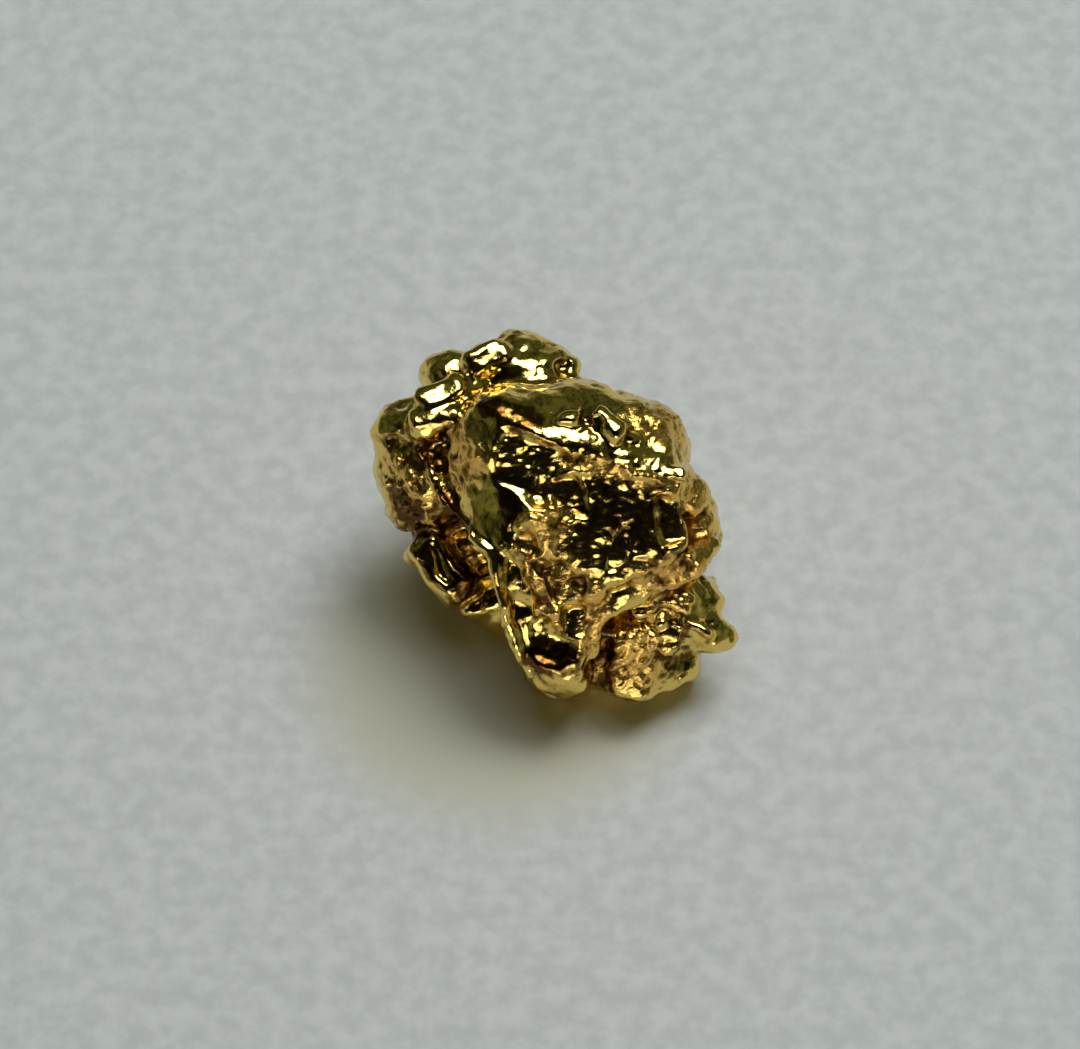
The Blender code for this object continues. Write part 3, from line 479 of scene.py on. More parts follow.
FRONT = Region(
    Frame.SLOPING,
    hollows=(
        Slab("front hollow", (0.98, -0.08, 2.00), (0.80, 0.78, 0.31), (0.04, -0.05, 0.99), -22, 0.12, 0.06),
        Slab("hollow bay left", (0.20, 0.26, 1.94), (0.24, 0.34, 0.28), (-0.03, -0.04, 0.99), 15, 0.10, 0.08),
        Slab(
            "hollow bay right",
            (1.78, -0.06, 1.81), (0.24, 0.34, 0.28), (0.14, -0.04, 0.98), 12, 0.10, 0.07,
        ),
        Slab("pan", (-0.46, 0.72, 1.92), (0.58, 0.44, 0.24), (-0.06, -0.05, 0.99), -24, 0.14, 0.07),
    ),
    ridges=(
        Strand(
            "right rim",
            (
                (2.32, -0.42, 0.84, 0.15),
                (2.02, -0.68, 1.08, 0.21),
                (1.50, -0.95, 1.17, 0.22),
                (1.05, -1.17, 1.20, 0.20),
                (0.77, -1.36, 1.23, 0.14),
            ),
            0.14,
        ),
        Slab("rim flat", (1.72, -0.82, 1.18), (0.42, 0.16, 0.18), (0.20, -0.45, 0.85), 26, 0.10, 0.10),
        Lump("centre fold", (-0.22, -0.10, 1.66), (0.27, 0.14, 0.12), -30, 0.06),
        Slab("centre patch", (-0.28, -0.16, 1.62), (0.26, 0.18, 0.16), (-0.10, -0.35, 0.93), -35, 0.06, 0.06),
    ),
    pits=(
        Lump("centre pit", (-0.46, -0.39, 1.78), (0.18, 0.16, 0.21), 0, 0.04),
        Lump("dark slot", (0.98, -0.52, 1.66), (0.12, 0.34, 0.22), -18, 0.05),
    ),
)

LEFT_SIDE = Region(
    Frame.SLOPING,
    masses=(
        Lump("left mass", (-1.77, 0.67, -0.09), (0.85, 0.87, 0.90), -10, 0.18),
        Lump("left wall", (-2.30, 0.58, -0.24), (0.42, 0.84, 0.66), 8, 0.15),
        Lump("left foot root", (-1.40, -0.49, -0.75), (0.66, 0.60, 0.60), 30, 0.15),
        Slab("left foot", (-1.69, -0.78, -0.22), (0.34, 0.62, 0.40), (-0.10, 0.04, 0.99), 40, 0.24, 0.09),
        Lump("toe", (-1.21, -1.36, -0.60), (0.24, 0.21, 0.24), 0, 0.09),
        Lump("under left", (-0.75, -1.20, -0.95), (0.60, 0.60, 0.60), 0, 0.18),
        Lump("foot", (0.53, -0.67, -1.35), (1.50, 1.05, 0.90), 0, 0.24),
    ),
    ridges=(
        Strand(
            "left edge",
            (
                (-1.86, 0.86, 0.78, 0.05),
                (-1.72, 0.24, 1.02, 0.07),
                (-1.27, -0.26, 1.36, 0.08),
                (-1.00, -0.55, 1.46, 0.09),
                (-0.91, -0.91, 1.46, 0.09),
                (-0.76, -1.33, 1.41, 0.09),
                (-0.65, -1.88, 1.19, 0.09),
                (-0.38, -2.38, 0.95, 0.08),
            ),
            0.09,
        ),
        Strand(
            "wall ridge",
            ((-2.30, 0.95, 0.48, 0.05), (-2.12, 0.50, 0.56, 0.07), (-1.98, 0.02, 0.52, 0.06)),
            0.08,
        ),
    ),
    pits=(
        Lump("wall pit upper", (-2.13, 0.18, 0.51), (0.12, 0.21, 0.21), -10, 0.04),
        Lump("wall pit lower", (-2.25, -0.20, 0.39), (0.15, 0.12, 0.18), 0, 0.04),
        Strand(
            "recess",
            ((-1.57, -0.07, 0.84, 0.15), (-1.27, -0.67, 0.69, 0.27), (-0.94, -1.60, 0.39, 0.21)),
            0.07,
        ),
        Strand(
            "wall groove",
            ((-1.84, 0.67, 0.84, 0.06), (-1.64, 0.15, 0.81, 0.07), (-1.27, -0.30, 0.87, 0.07)),
            0.04,
        ),
        Strand(
            "outer groove",
            ((-2.44, 0.90, 0.39, 0.06), (-2.35, 0.53, 0.45, 0.06), (-2.29, -0.07, 0.39, 0.06)),
            0.04,
        ),
        Strand(
            "foot groove",
            ((-1.88, -0.45, 0.18, 0.06), (-1.70, -0.90, 0.21, 0.08), (-1.46, -1.19, 0.15, 0.06)),
            0.04,
        ),
    ),
)

FRONT_FOOT = Region(
    Frame.SLOPING,
    masses=(
        Lump("front foot", (0.00, -2.20, -0.09), (0.50, 0.54, 0.54), 0, 0.18),
        Lump("front foot side", (0.34, -2.05, 0.09), (0.36, 0.48, 0.45), 0, 0.12),
    ),
    ridges=(
        Slab("lobe fold 1", (-0.44, -0.70, 1.57), (0.15, 0.34, 0.16), (-0.05, -0.36, 0.93), 36, 0.08, 0.06),
        Slab("lobe fold 2", (-0.20, -1.16, 1.47), (0.15, 0.36, 0.16), (0.05, -0.36, 0.93), 14, 0.08, 0.06),
        Slab("lobe fold 3", (0.00, -1.58, 1.38), (0.13, 0.26, 0.14), (-0.05, -0.37, 0.92), 20, 0.08, 0.06),
        Slab("lobe fold 4", (0.46, -0.98, 1.42), (0.34, 0.15, 0.16), (0.05, -0.36, 0.93), -42, 0.08, 0.07),
        Slab("lobe fold 5", (0.56, -1.72, 1.02), (0.12, 0.46, 0.18), (0.05, -0.34, 0.94), -14, 0.07, 0.07),
        Lump("foot dimple rim", (0.05, -2.62, 0.39), (0.27, 0.18, 0.18), 0, 0.04),
        Strand(
            "foot rim",
            ((-0.36, -2.30, 0.86, 0.08), (-0.12, -2.54, 0.76, 0.10), (0.35, -2.48, 0.78, 0.10)),
            0.10,
        ),
    ),
    pits=(
        Slab("lobe pocket", (0.24, -1.38, 1.60), (0.21, 0.38, 0.30), (0.02, 0.00, 0.99), 12, 0.06, 0.05),
        Slab("foot pocket", (-0.12, -1.94, 1.51), (0.42, 0.31, 0.33), (-0.04, -0.06, 1.00), -26, 0.20, 0.06),
        Lump("foot dimple", (0.13, -2.60, 0.53), (0.12, 0.09, 0.14), 0, 0.03),
        Slab("left ledge", (-0.54, -1.12, 1.70), (0.17, 0.62, 0.26), (-0.06, -0.09, 0.99), 12, 0.07, 0.05),
    ),
)

SIDE = Region(
    Frame.SLOPING,
    masses=(
        Lump("beak root", (1.81, -1.45, 0.21), (0.57, 0.51, 0.54), 0, 0.12),
        Lump("beak top", (2.21, -1.27, 0.12), (0.32, 0.40, 0.42), 28, 0.09),
    ),
    ridges=(
        Strand(
            "beak",
            ((1.93, -1.60, 0.39, 0.30), (2.32, -1.76, 0.28, 0.28), (2.60, -1.82, 0.22, 0.21)),
            0.12,
        ),
        Slab("beak streak", (2.14, -1.66, 0.66), (0.30, 0.09, 0.12), (0.10, 0.28, 0.95), -36, 0.06, 0.05),
        Slab("side lump left", (1.38, -1.32, 0.90), (0.26, 0.16, 0.16), (-0.10, 0.05, 0.99), 20, 0.09, 0.06),
        Slab(
            "side lump middle",
            (1.86, -1.28, 0.86), (0.20, 0.16, 0.18), (0.15, 0.10, 0.98), -30, 0.08, 0.06,
        ),
        Slab("side lump low", (1.66, -1.80, 0.80), (0.20, 0.26, 0.12), (0.05, -0.34, 0.94), -20, 0.06, 0.05),
    ),
    pits=(
        Lump("under the beak", (2.20, -2.00, 0.60), (0.32, 0.08, 0.22), -25, 0.06),
        Lump("side block pit", (1.00, -2.42, 0.87), (0.12, 0.18, 0.18), 0, 0.04),
        Strand(
            "crevice",
            ((0.98, -1.32, 0.99, 0.09), (0.76, -1.88, 0.78, 0.09), (0.68, -2.66, 0.56, 0.09)),
            0.05,
        ),
        Strand(
            "side step",
            ((1.52, -1.50, 0.98, 0.05), (1.50, -2.02, 0.86, 0.05), (1.62, -2.53, 0.58, 0.05)),
            0.04,
        ),
        Strand(
            "under the rim",
            ((1.03, -1.51, 0.96, 0.07), (1.45, -1.22, 0.95, 0.08), (1.88, -1.06, 0.86, 0.07)),
            0.06,
        ),
        Strand(
            "beak groove",
            ((1.81, -1.43, 0.78, 0.04), (2.17, -1.55, 0.66, 0.06), (2.46, -1.70, 0.48, 0.04)),
            0.04,
        ),
    ),
)

BACK = Region(
    Frame.STANDING,
    masses=(
        Lump("back boss upper", (0.90, 1.68, 2.25), (0.57, 0.45, 0.45), 0, 0.12),
        Lump("back boss left", (-0.72, 1.77, 1.44), (0.63, 0.48, 0.57), 0, 0.12),
        Lump("back boss low", (1.11, 1.68, 0.81), (0.66, 0.54, 0.51), 0, 0.12),
        Lump("back knob", (0.09, 2.13, 1.92), (0.36, 0.24, 0.33), 0, 0.07),
        Lump("back bead low", (0.51, 2.10, 1.38), (0.21, 0.18, 0.20), 0, 0.06),
        Lump("back bead high", (-0.33, 2.01, 2.40), (0.24, 0.21, 0.21), 0, 0.06),
        Lump("right boss", (1.83, 0.78, 1.68), (0.42, 0.54, 0.45), 0, 0.12),
        Lump("right bead", (1.92, 0.36, 1.17), (0.27, 0.30, 0.24), 0, 0.07),
        Lump("right low boss", (1.62, 1.05, 0.69), (0.45, 0.51, 0.39), 0, 0.10),
        Lump("left low boss", (-1.23, 0.90, 0.78), (0.54, 0.60, 0.48), 0, 0.12),
        Lump("left low bead", (-1.68, 0.51, 1.38), (0.24, 0.33, 0.27), 0, 0.07),
    ),
    hollows=(
        Lump("back pit high", (0.45, 2.37, 2.28), (0.39, 0.27, 0.27), 0, 0.09),
        Lump("back pit low", (-0.18, 2.28, 1.11), (0.36, 0.27, 0.24), 0, 0.09),
        Lump("back pit right", (1.47, 1.86, 1.86), (0.36, 0.33, 0.39), 0, 0.09),
        Lump("back pit left", (-1.38, 1.68, 2.01), (0.33, 0.36, 0.36), 0, 0.09),
        Lump("side pit", (2.22, 0.78, 1.17), (0.27, 0.33, 0.21), 0, 0.07),
        Strand(
            "back cleft",
            (
                (-1.05, 1.92, 2.52, 0.09),
                (-0.24, 2.28, 1.77, 0.12),
                (0.30, 2.22, 0.96, 0.12),
                (0.45, 1.95, 0.30, 0.09),
            ),
            0.07,
        ),
        Strand(
            "side cleft",
            ((1.98, 1.32, 2.25, 0.09), (2.07, 1.38, 1.50, 0.12), (1.92, 1.38, 0.60, 0.10)),
            0.07,
        ),
        Strand(
            "back ledge",
            ((0.90, 2.34, 1.92, 0.09), (1.44, 1.92, 1.38, 0.09), (1.92, 1.44, 1.26, 0.07)),
            0.07,
        ),
    ),
)


@dataclass(frozen=True)
class Warp:
    """Unevenness that bends every feature: length, sideways reach, height and offset of each wave."""

    waves: tuple[tuple[float, float, float, float], ...] = WAVES

    def moved(self, sloping: Points) -> Points:
        """Points of the sloping frame shifted by the waves."""
        result = sloping.copy()
        for length, sideways, height, offset in self.waves:
            start = Vector((offset, 0.0, 0.0))
            shift = np.array([noise.noise_vector(Vector(p) / length + start)[:] for p in sloping])
            result += shift * np.array([sideways, sideways, height])
        return result


@dataclass(frozen=True)
class NuggetForm:
    """The whole nugget as a distance in mm from its skin, negative inside."""

    regions: tuple[Region, ...] = (CREST, KNUCKLES, DOME, LEFT_SIDE, FRONT_FOOT, SIDE, FRONT)
    back: Region = BACK
    back_block: Block = field(default_factory=lambda: BackBlock().block())
    warp: Warp = Warp()
    block_blend: float = 0.21
    back_blend: float = 0.27
    side_blend: float = 0.09
    rest_blend: float = 0.05
    margin: float = 0.30  # how far round a feature its distance is worked out

    def shape(self, distance: Distances, points: Points, features: Sequence[Feature], use: Use) -> None:
        """Adds or cuts each feature, changing the distances in place.

        Args:
            distance: Distances to the form so far.
            points: The points that they belong to, in the features' frame.
            features: What to add or cut.
            use: Which of the two.
        """
        for feature in features:
            low, high = feature.box()
            reach = self.margin + feature.blend
            near = np.nonzero(np.all((points > low - reach) & (points < high + reach), axis=1))[0]
            if not len(near):
                continue
            measured = feature.distance(points[near])
            if use is Use.ADD:
                distance[near] = blend_union(distance[near], measured, feature.blend)
            else:
                distance[near] = blend_cut(distance[near], -measured, feature.blend)

    def distance(self, points: Points) -> Distances:
        """Distances of points of the standing frame."""
        sloping = self.warp.moved(to_sloping(points))
        standing = sloping @ np.array(STANDING_TO_SLOPING) + SLOPING_ORIGIN
        distance = UPPER_BLOCK.distance(sloping)
        distance = blend_union(distance, LOWER_BLOCK.distance(sloping), self.block_blend)
        distance = blend_union(distance, self.back_block.distance(standing), self.back_blend)
        self.shape(distance, standing, self.back.masses, Use.ADD)
        self.shape(distance, standing, self.back.hollows, Use.CUT)
        for region in self.regions:
            self.shape(distance, sloping, region.masses, Use.ADD)
        distance = blend_union(distance, SIDE_BLOCK.distance(sloping), self.side_blend)
        for layer, use in (("hollows", Use.CUT), ("ridges", Use.ADD), ("pits", Use.CUT)):
            for region in self.regions:
                self.shape(distance, sloping, getattr(region, layer), use)
        return blend_cut(distance, -points[:, 2], self.rest_blend)

    def slope(self, points: Points, distance: Distances, reach: float = 0.008) -> Points:
        """How fast the distance grows in each direction.

        Args:
            points: Points of the standing frame.
            distance: Their distances.
            reach: Length of the step that it is measured over.

        Returns:
            One vector for each point.
        """
        result = np.empty_like(points)
        for axis in range(3):
            nudge = np.zeros(3)
            nudge[axis] = reach
            result[:, axis] = (self.distance(points + nudge) - distance) / reach
        return result


# Skin: where the metal is polished, worn, pitted or streaked, and where dirt and painted shade darken it


class Skin(Enum):
    """How a place of the surface looks. The value is the name of its attribute."""

    POLISHED = "polished"
    WORN = "worn"
    PITTED = "pitted"
    STREAKED = "streaked"
    KNOBBLY = "knobbly"
    # Dirt, and painted shade where shade falls.
    SHADE_AND_DIRT = "shade_and_dirt"


@dataclass(frozen=True)
class Patch:
    """A soft-edged place of a skin: centre and half sizes in the sloping frame, and strength."""

    name: str
    at: Triple
    half: Triple
    strength: float = 1.0

    def mask(self, sloping: Points) -> np.ndarray:
        """Its strength at each point, fading from half way out."""
        reach = np.linalg.norm((sloping - np.array(self.at)) / np.array(self.half), axis=1)
        return self.strength * smooth_share(PATCH_END - reach)


@dataclass(frozen=True)
class Band:
    """A soft-edged skin along a line of x, y and depth in the sloping frame, with its half width."""

    name: str
    stops: tuple[Triple, ...]
    half_width: float
    strength: float = 1.0

    def mask(self, sloping: Points) -> np.ndarray:
        """Its strength at each point, fading from its middle to twice its half width."""
        line = Strand(self.name, tuple((*stop, 0.0) for stop in self.stops), 0.0)
        return self.strength * smooth_share(BAND_END - line.distance(sloping) / self.half_width)


SKINS: dict[Skin, tuple[Union[Patch, Band], ...]] = {
    Skin.POLISHED: (
        Patch("dome", (-0.52, 1.62, 1.35), (0.72, 0.42, 0.90), 0.5),
        Patch("knuckles", (-1.75, 1.68, 0.50), (0.60, 0.42, 0.80), 0.35),
        Patch("crest", (-0.60, 2.50, 0.10), (0.75, 0.33, 0.80), 0.35),
        Patch("brow", (0.45, 1.12, 1.75), (0.95, 0.22, 0.50)),
        Patch("left hollow", (-0.82, 0.00, 1.60), (0.50, 0.42, 0.60)),
        Patch("pan rim", (-0.68, 0.40, 1.60), (0.42, 0.25, 0.50)),
        Patch("foot pocket", (-0.30, -1.98, 1.10), (0.36, 0.32, 0.60), 0.8),
        Patch("lobe pocket", (0.29, -1.36, 1.15), (0.20, 0.34, 0.40), 0.9),
        Band("left ledge", ((-0.72, -0.50, 1.42), (-0.57, -1.14, 1.38), (-0.42, -1.74, 1.30)), 0.13, 1.2),
        Patch("left foot", (-1.78, -0.82, 0.00), (0.42, 0.60, 0.60)),
        Patch("beak", (2.20, -1.60, 0.40), (0.40, 0.35, 0.50), 0.8),
        Patch("front hollow", (1.10, 0.15, 1.65), (0.75, 0.60, 0.40), 0.65),
    ),
    Skin.WORN: (
        Band("under the brow", ((0.20, 0.90, 1.74), (1.05, 0.61, 1.74), (1.70, 0.40, 1.66)), 0.12),
        Patch("left slope", (-1.30, 0.88, 1.10), (0.46, 0.52, 0.70)),
        Patch("centre", (-0.22, -0.10, 1.60), (0.48, 0.36, 0.50)),
        Patch("lobe", (-0.18, -1.05, 1.50), (0.60, 0.75, 0.60), 0.7),
        Patch("lobe side", (0.55, -1.40, 1.20), (0.30, 0.75, 0.60)),
        Patch("right rim", (1.65, -0.85, 1.10), (0.80, 0.35, 0.70)),
        Patch("right edge", (2.05, 0.00, 0.90), (0.35, 0.75, 0.70)),
        Patch("side block", (1.20, -2.10, 0.70), (0.55, 0.60, 0.50), 0.8),
        Patch("side lumps", (1.70, -1.30, 0.80), (0.50, 0.30, 0.50), 0.7),
        Patch("shoulder", (1.45, 1.30, 1.10), (0.60, 0.42, 0.70), 0.8),
        Patch("left wall", (-2.20, 0.45, 0.30), (0.40, 0.90, 0.80), 0.7),
    ),
    Skin.PITTED: (
        Patch("front hollow", (1.05, 0.15, 1.60), (0.90, 0.80, 0.60), 0.35),
        Patch("pan", (-0.36, 0.72, 1.70), (0.40, 0.34, 0.40), 0.4),
        Patch("shoulder", (1.50, 1.20, 1.20), (0.55, 0.35, 0.60), 0.5),
        Patch("centre", (-0.35, -0.45, 1.60), (0.35, 0.35, 0.50), 0.8),
        Patch("lobe", (0.10, -1.25, 1.40), (0.50, 0.60, 0.50), 0.4),
        Patch("left wall", (-2.20, 0.45, 0.30), (0.35, 0.80, 0.70)),
        Patch("knuckle pits", (-1.85, 0.95, 0.70), (0.42, 0.28, 0.50), 0.5),
        Patch("side right", (1.85, -2.10, 0.70), (0.30, 0.42, 0.40), 0.8),
    ),
    Skin.STREAKED: (
        Patch("side block", (1.15, -2.15, 0.70), (0.45, 0.50, 0.40)),
    ),
    Skin.KNOBBLY: (
        Band("under the brow", ((0.20, 0.90, 1.74), (1.05, 0.61, 1.74), (1.70, 0.40, 1.66)), 0.12, 1.3),
        Band("pan top", ((-0.75, 1.20, 1.68), (-0.30, 1.08, 1.74), (0.20, 0.90, 1.74)), 0.09, 0.8),
        Patch("centre", (-0.25, -0.35, 1.60), (0.48, 0.55, 0.50)),
        Patch("lobe", (0.05, -1.10, 1.40), (0.60, 0.65, 0.60), 1.35),
        Patch("side right", (1.85, -2.10, 0.70), (0.30, 0.42, 0.40), 0.8),
        Patch("side block", (1.25, -2.15, 0.70), (0.50, 0.50, 0.40), 0.35),
        Patch("side lumps", (1.60, -1.45, 0.80), (0.55, 0.35, 0.50), 0.8),
        Patch("shoulder", (1.60, 1.10, 1.10), (0.36, 0.30, 0.60), 0.4),
        Patch("left slope", (-1.25, 0.80, 1.20), (0.36, 0.42, 0.60), 1.3),
        Patch("beak top", (2.20, -1.15, 0.45), (0.35, 0.40, 0.50), 0.7),
        Patch("right rim", (1.65, -0.80, 1.10), (0.80, 0.32, 0.60)),
        Patch("left wall", (-2.15, 0.25, 0.30), (0.42, 0.85, 0.70), 1.3),
        Patch("knuckle pits", (-1.75, 0.95, 0.75), (0.42, 0.30, 0.50), 0.6),
    ),
    # Mostly painted shade: in the recess, crevice, pits, pockets and front hollow, on the foot rim and left
    # wall where shade falls, and dulling highlights on the dome edge and in the foot pocket; the rest is
    # dirt.
    Skin.SHADE_AND_DIRT: (
        Band("dome edge", ((-0.95, 1.60, 1.48), (-0.38, 1.43, 1.65)), 0.14, 1.1),
        Patch("foot pocket", (-0.05, -2.12, 1.18), (0.40, 0.20, 0.40), 1.6),
        Patch("side right", (1.85, -2.10, 0.70), (0.30, 0.42, 0.40), 0.45),
        Band(
            "recess",
            ((-1.50, -0.10, 0.70), (-1.22, -0.75, 0.50), (-0.95, -1.55, 0.25), (-0.80, -2.05, 0.15)),
            0.36,
        ),
        Patch("crevice", (0.78, -2.05, 0.60), (0.16, 0.60, 0.50)),
        Patch("left wall", (-2.10, 0.20, 0.40), (0.32, 0.70, 0.60), 0.5),
        Patch("knuckle pits", (-1.90, 0.85, 0.60), (0.40, 0.20, 0.50), 0.8),
        Patch("front hollow", (1.05, 0.10, 1.40), (0.70, 0.62, 0.50), 0.7),
        Patch("foot rim", (0.10, -2.26, 1.10), (0.34, 0.14, 0.40), 0.8),
        Patch("right rim", (1.65, -0.80, 1.10), (0.80, 0.32, 0.60), 0.25),
    ),
}


# Node trees


class Signal:
    """One socket's value. Arithmetic on it adds Math nodes to its tree."""

    def __init__(self, tree: "Tree", socket: bpy.types.NodeSocket) -> None:
        """Wraps a socket of the tree."""
        self.tree = tree
        self.socket = socket

    def other(self, name: str) -> "Signal":
        """Another output of the same node."""
        return Signal(self.tree, self.tree.find(self.socket.node.outputs, name))

    def maths(self, operation: str, *values: Operand) -> "Signal":
        """A Math node's result on values in their order."""
        return self.tree.node("ShaderNodeMath", {"operation": operation}, dict(enumerate(values)))

    def __add__(self, value: Operand) -> "Signal":
        """Self + value."""
        return self.maths("ADD", self, value)

    def __radd__(self, value: Operand) -> "Signal":
        """Value + self."""
        return self.maths("ADD", value, self)

    def __sub__(self, value: Operand) -> "Signal":
        """Self - value."""
        return self.maths("SUBTRACT", self, value)

    def __rsub__(self, value: Operand) -> "Signal":
        """Value - self."""
        return self.maths("SUBTRACT", value, self)

    def __mul__(self, value: Operand) -> "Signal":
        """Self x value."""
        return self.maths("MULTIPLY", self, value)

    def __rmul__(self, value: Operand) -> "Signal":
        """Value x self."""
        return self.maths("MULTIPLY", value, self)

    def __truediv__(self, value: Operand) -> "Signal":
        """Self / value."""
        return self.maths("DIVIDE", self, value)

    def __rtruediv__(self, value: Operand) -> "Signal":
        """Value / self."""
        return self.maths("DIVIDE", value, self)

    def sine(self) -> "Signal":
        """Its sine."""
        return self.maths("SINE", self)

    def ramp(self, low: Operand, high: Operand) -> "Signal":
        """Goes smoothly from 0 where self is low to 1 where it is high."""
        return self.tree.node(
            "ShaderNodeMapRange",
            {"interpolation_type": "SMOOTHSTEP"},
            {"Value": self, "From Min": low, "From Max": high},
        )


class Tree:
    """A node tree under construction."""

    def __init__(self, nodes: bpy.types.NodeTree) -> None:
        """Starts with an empty tree."""
        self.nodes = nodes
        nodes.nodes.clear()

    @staticmethod
    def find(sockets: Any, key: Union[int, str]) -> bpy.types.NodeSocket:
        """A socket by its index, identifier or name.

        Args:
            sockets: A node's inputs or outputs.
            key: Which one. Of several with one name, the first in use is taken.

        Returns:
            The socket.
        """
        if isinstance(key, int):
            return sockets[key]
        for socket in sockets:
            if socket.identifier == key:
                return socket
        return next(socket for socket in sockets if socket.name == key and socket.enabled)

    def node(
        self,
        kind: str,
        settings: Union[dict[str, Any], None] = None,
        values: Union[dict[Union[int, str], Any], None] = None,
        output: Union[int, str] = 0,
    ) -> Signal:
        """Adds a node.

        Args:
            kind: Its type.
            settings: Its own settings, set first.
            values: Value or Signal for each named or numbered input.
            output: Which output to return.

        Returns:
            That output, or the first input's socket of a node without outputs.
        """
        made = self.nodes.nodes.new(kind)
        for name, setting in (settings or {}).items():
            setattr(made, name, setting)
        for key, value in (values or {}).items():
            socket = self.find(made.inputs, key)
            if isinstance(value, Signal):
                self.nodes.links.new(value.socket, socket)
            else:
                socket.default_value = value
        if not made.outputs:
            return Signal(self, made.inputs[0])
        return Signal(self, self.find(made.outputs, output))

    def scaled(self, vector: Signal, factor: Operand) -> Signal:
        """A vector times a number."""
        return self.node("ShaderNodeVectorMath", {"operation": "SCALE"}, {0: vector, "Scale": factor})

    def noise(self, place: Signal, scale: Operand, detail: float, shift: Operand) -> Signal:
        """Soft noise between about -1 and 1.

        Args:
            place: Where it is read.
            scale: How many of its waves there are to the unit of place.
            detail: How many finer waves it holds.
            shift: Picks another noise of the same kind.

        Returns:
            The noise.
        """
        made = self.node(
            "ShaderNodeTexNoise",
            {"noise_dimensions": "4D"},
            {"Vector": place, "W": shift, "Scale": scale, "Detail": detail, "Roughness": 0.5},
        )
        return (made - 0.5) * 2.0

    def sized_noise(self, place: Signal, size: float, detail: float, shift: float) -> Signal:
        """Noise whose waves are that long, in the unit of place."""
        return self.noise(self.scaled(place, 1.0 / size), 1.0, detail, shift)

    def blend_colours(self, factor: Signal, first: Any, second: Any) -> Signal:
        """Goes from the first colour to the second as factor goes from 0 to 1."""
        return self.node(
            "ShaderNodeMix",
            {"data_type": "RGBA"},
            {"Factor_Float": factor, "A_Color": first, "B_Color": second},
            "Result_Color",
        )


# Gold


@dataclass(frozen=True)
class GoldFinish:
    """Native gold: bright where it is polished, matt where it is worn, darkened by dirt and by painted shade
    in its pits and hollows.
    """

    clean: Colour = (0.86, 0.61, 0.16, 1.0)
    worn: Colour = (0.84, 0.50, 0.12, 1.0)
    shade_and_dirt_colour: Colour = (0.13, 0.060, 0.012, 1.0)
    polished_roughness: float = 0.11
    plain_roughness: float = 0.14
    worn_roughness: float = 0.28
    darkened_roughness: float = 0.05  # what the dirt and painted shade add
    matt_mottle: float = 0.25  # how far the mottle makes worn gold uneven
    matt_polish: float = 0.6  # how far polishing takes the wear away
    mottle_size: float = 0.35
    speck_size: float = 0.16
    grain_size: float = 0.045
    grain_height: float = 0.005
    least_grain: float = 0.30  # share of the grain that is left where the gold is bright
    stain_mottle: float = 0.3  # these four say how much each thing adds to the dirt and painted shade
    stain_specks: float = 1.3
    patch_darkening: float = 0.9
    sunk_darkening: float = 14.0  # painted shade and dirt for each mm that the skin is sunk
    darkening_edges: Pair = (0.2, 0.95)  # sums at which the dirt and painted shade start and are full

    def material(self) -> bpy.types.Material:
        """The metal as a material."""
        material = bpy.data.materials.new("native_gold")
        material.use_nodes = True
        tree = Tree(material.node_tree)
        place = tree.scaled(tree.node("ShaderNodeTexCoord", output="Object"), 1.0 / METRES)
        worn = self.read(tree, Skin.WORN.value)
        polished = self.read(tree, Skin.POLISHED.value)
        hollow = self.read(tree, "hollow")
        shade_and_dirt_patches = self.read(tree, Skin.SHADE_AND_DIRT.value)
        sunk = self.read(tree, "sunk")
        mottle = tree.sized_noise(place, self.mottle_size, detail=3.0, shift=5.0)
        grain = tree.sized_noise(place, self.grain_size, detail=3.0, shift=9.0)
        specks = tree.sized_noise(place, self.speck_size, detail=4.0, shift=21.0)
        matt = (worn + mottle * self.matt_mottle - polished * self.matt_polish).ramp(0.0, 1.0)
        # Dirt and painted shade: mottle and specks are dirt, hollows and the shade patches are painted shade,
        # and sunk pits are both.
        shade_and_dirt = hollow + mottle * self.stain_mottle + specks * self.stain_specks
        shade_and_dirt = (shade_and_dirt + shade_and_dirt_patches * self.patch_darkening + sunk * self.sunk_darkening).ramp(*self.darkening_edges)
        colour = tree.blend_colours(matt, self.clean, self.worn)
        colour = tree.blend_colours(shade_and_dirt, colour, self.shade_and_dirt_colour)
        roughness = self.plain_roughness + matt * (self.worn_roughness - self.plain_roughness)
        roughness = roughness + polished * (self.polished_roughness - self.plain_roughness)
        roughness = roughness + shade_and_dirt * self.darkened_roughness
        height = grain * (self.least_grain + matt)
        depth = self.grain_height * METRES
        bump = tree.node("ShaderNodeBump", values={"Height": height, "Distance": depth, "Strength": 1.0})
        surface = tree.node(
            "ShaderNodeBsdfPrincipled",
            values={"Base Color": colour, "Metallic": 1.0, "Roughness": roughness, "Normal": bump},
        )
        tree.node("ShaderNodeOutputMaterial", values={"Surface": surface})
        return material

    @staticmethod
    def read(tree: Tree, name: str) -> Signal:
        """A number that the mesh holds at each vertex."""
        return tree.node("ShaderNodeAttribute", {"attribute_name": name}, output="Fac")


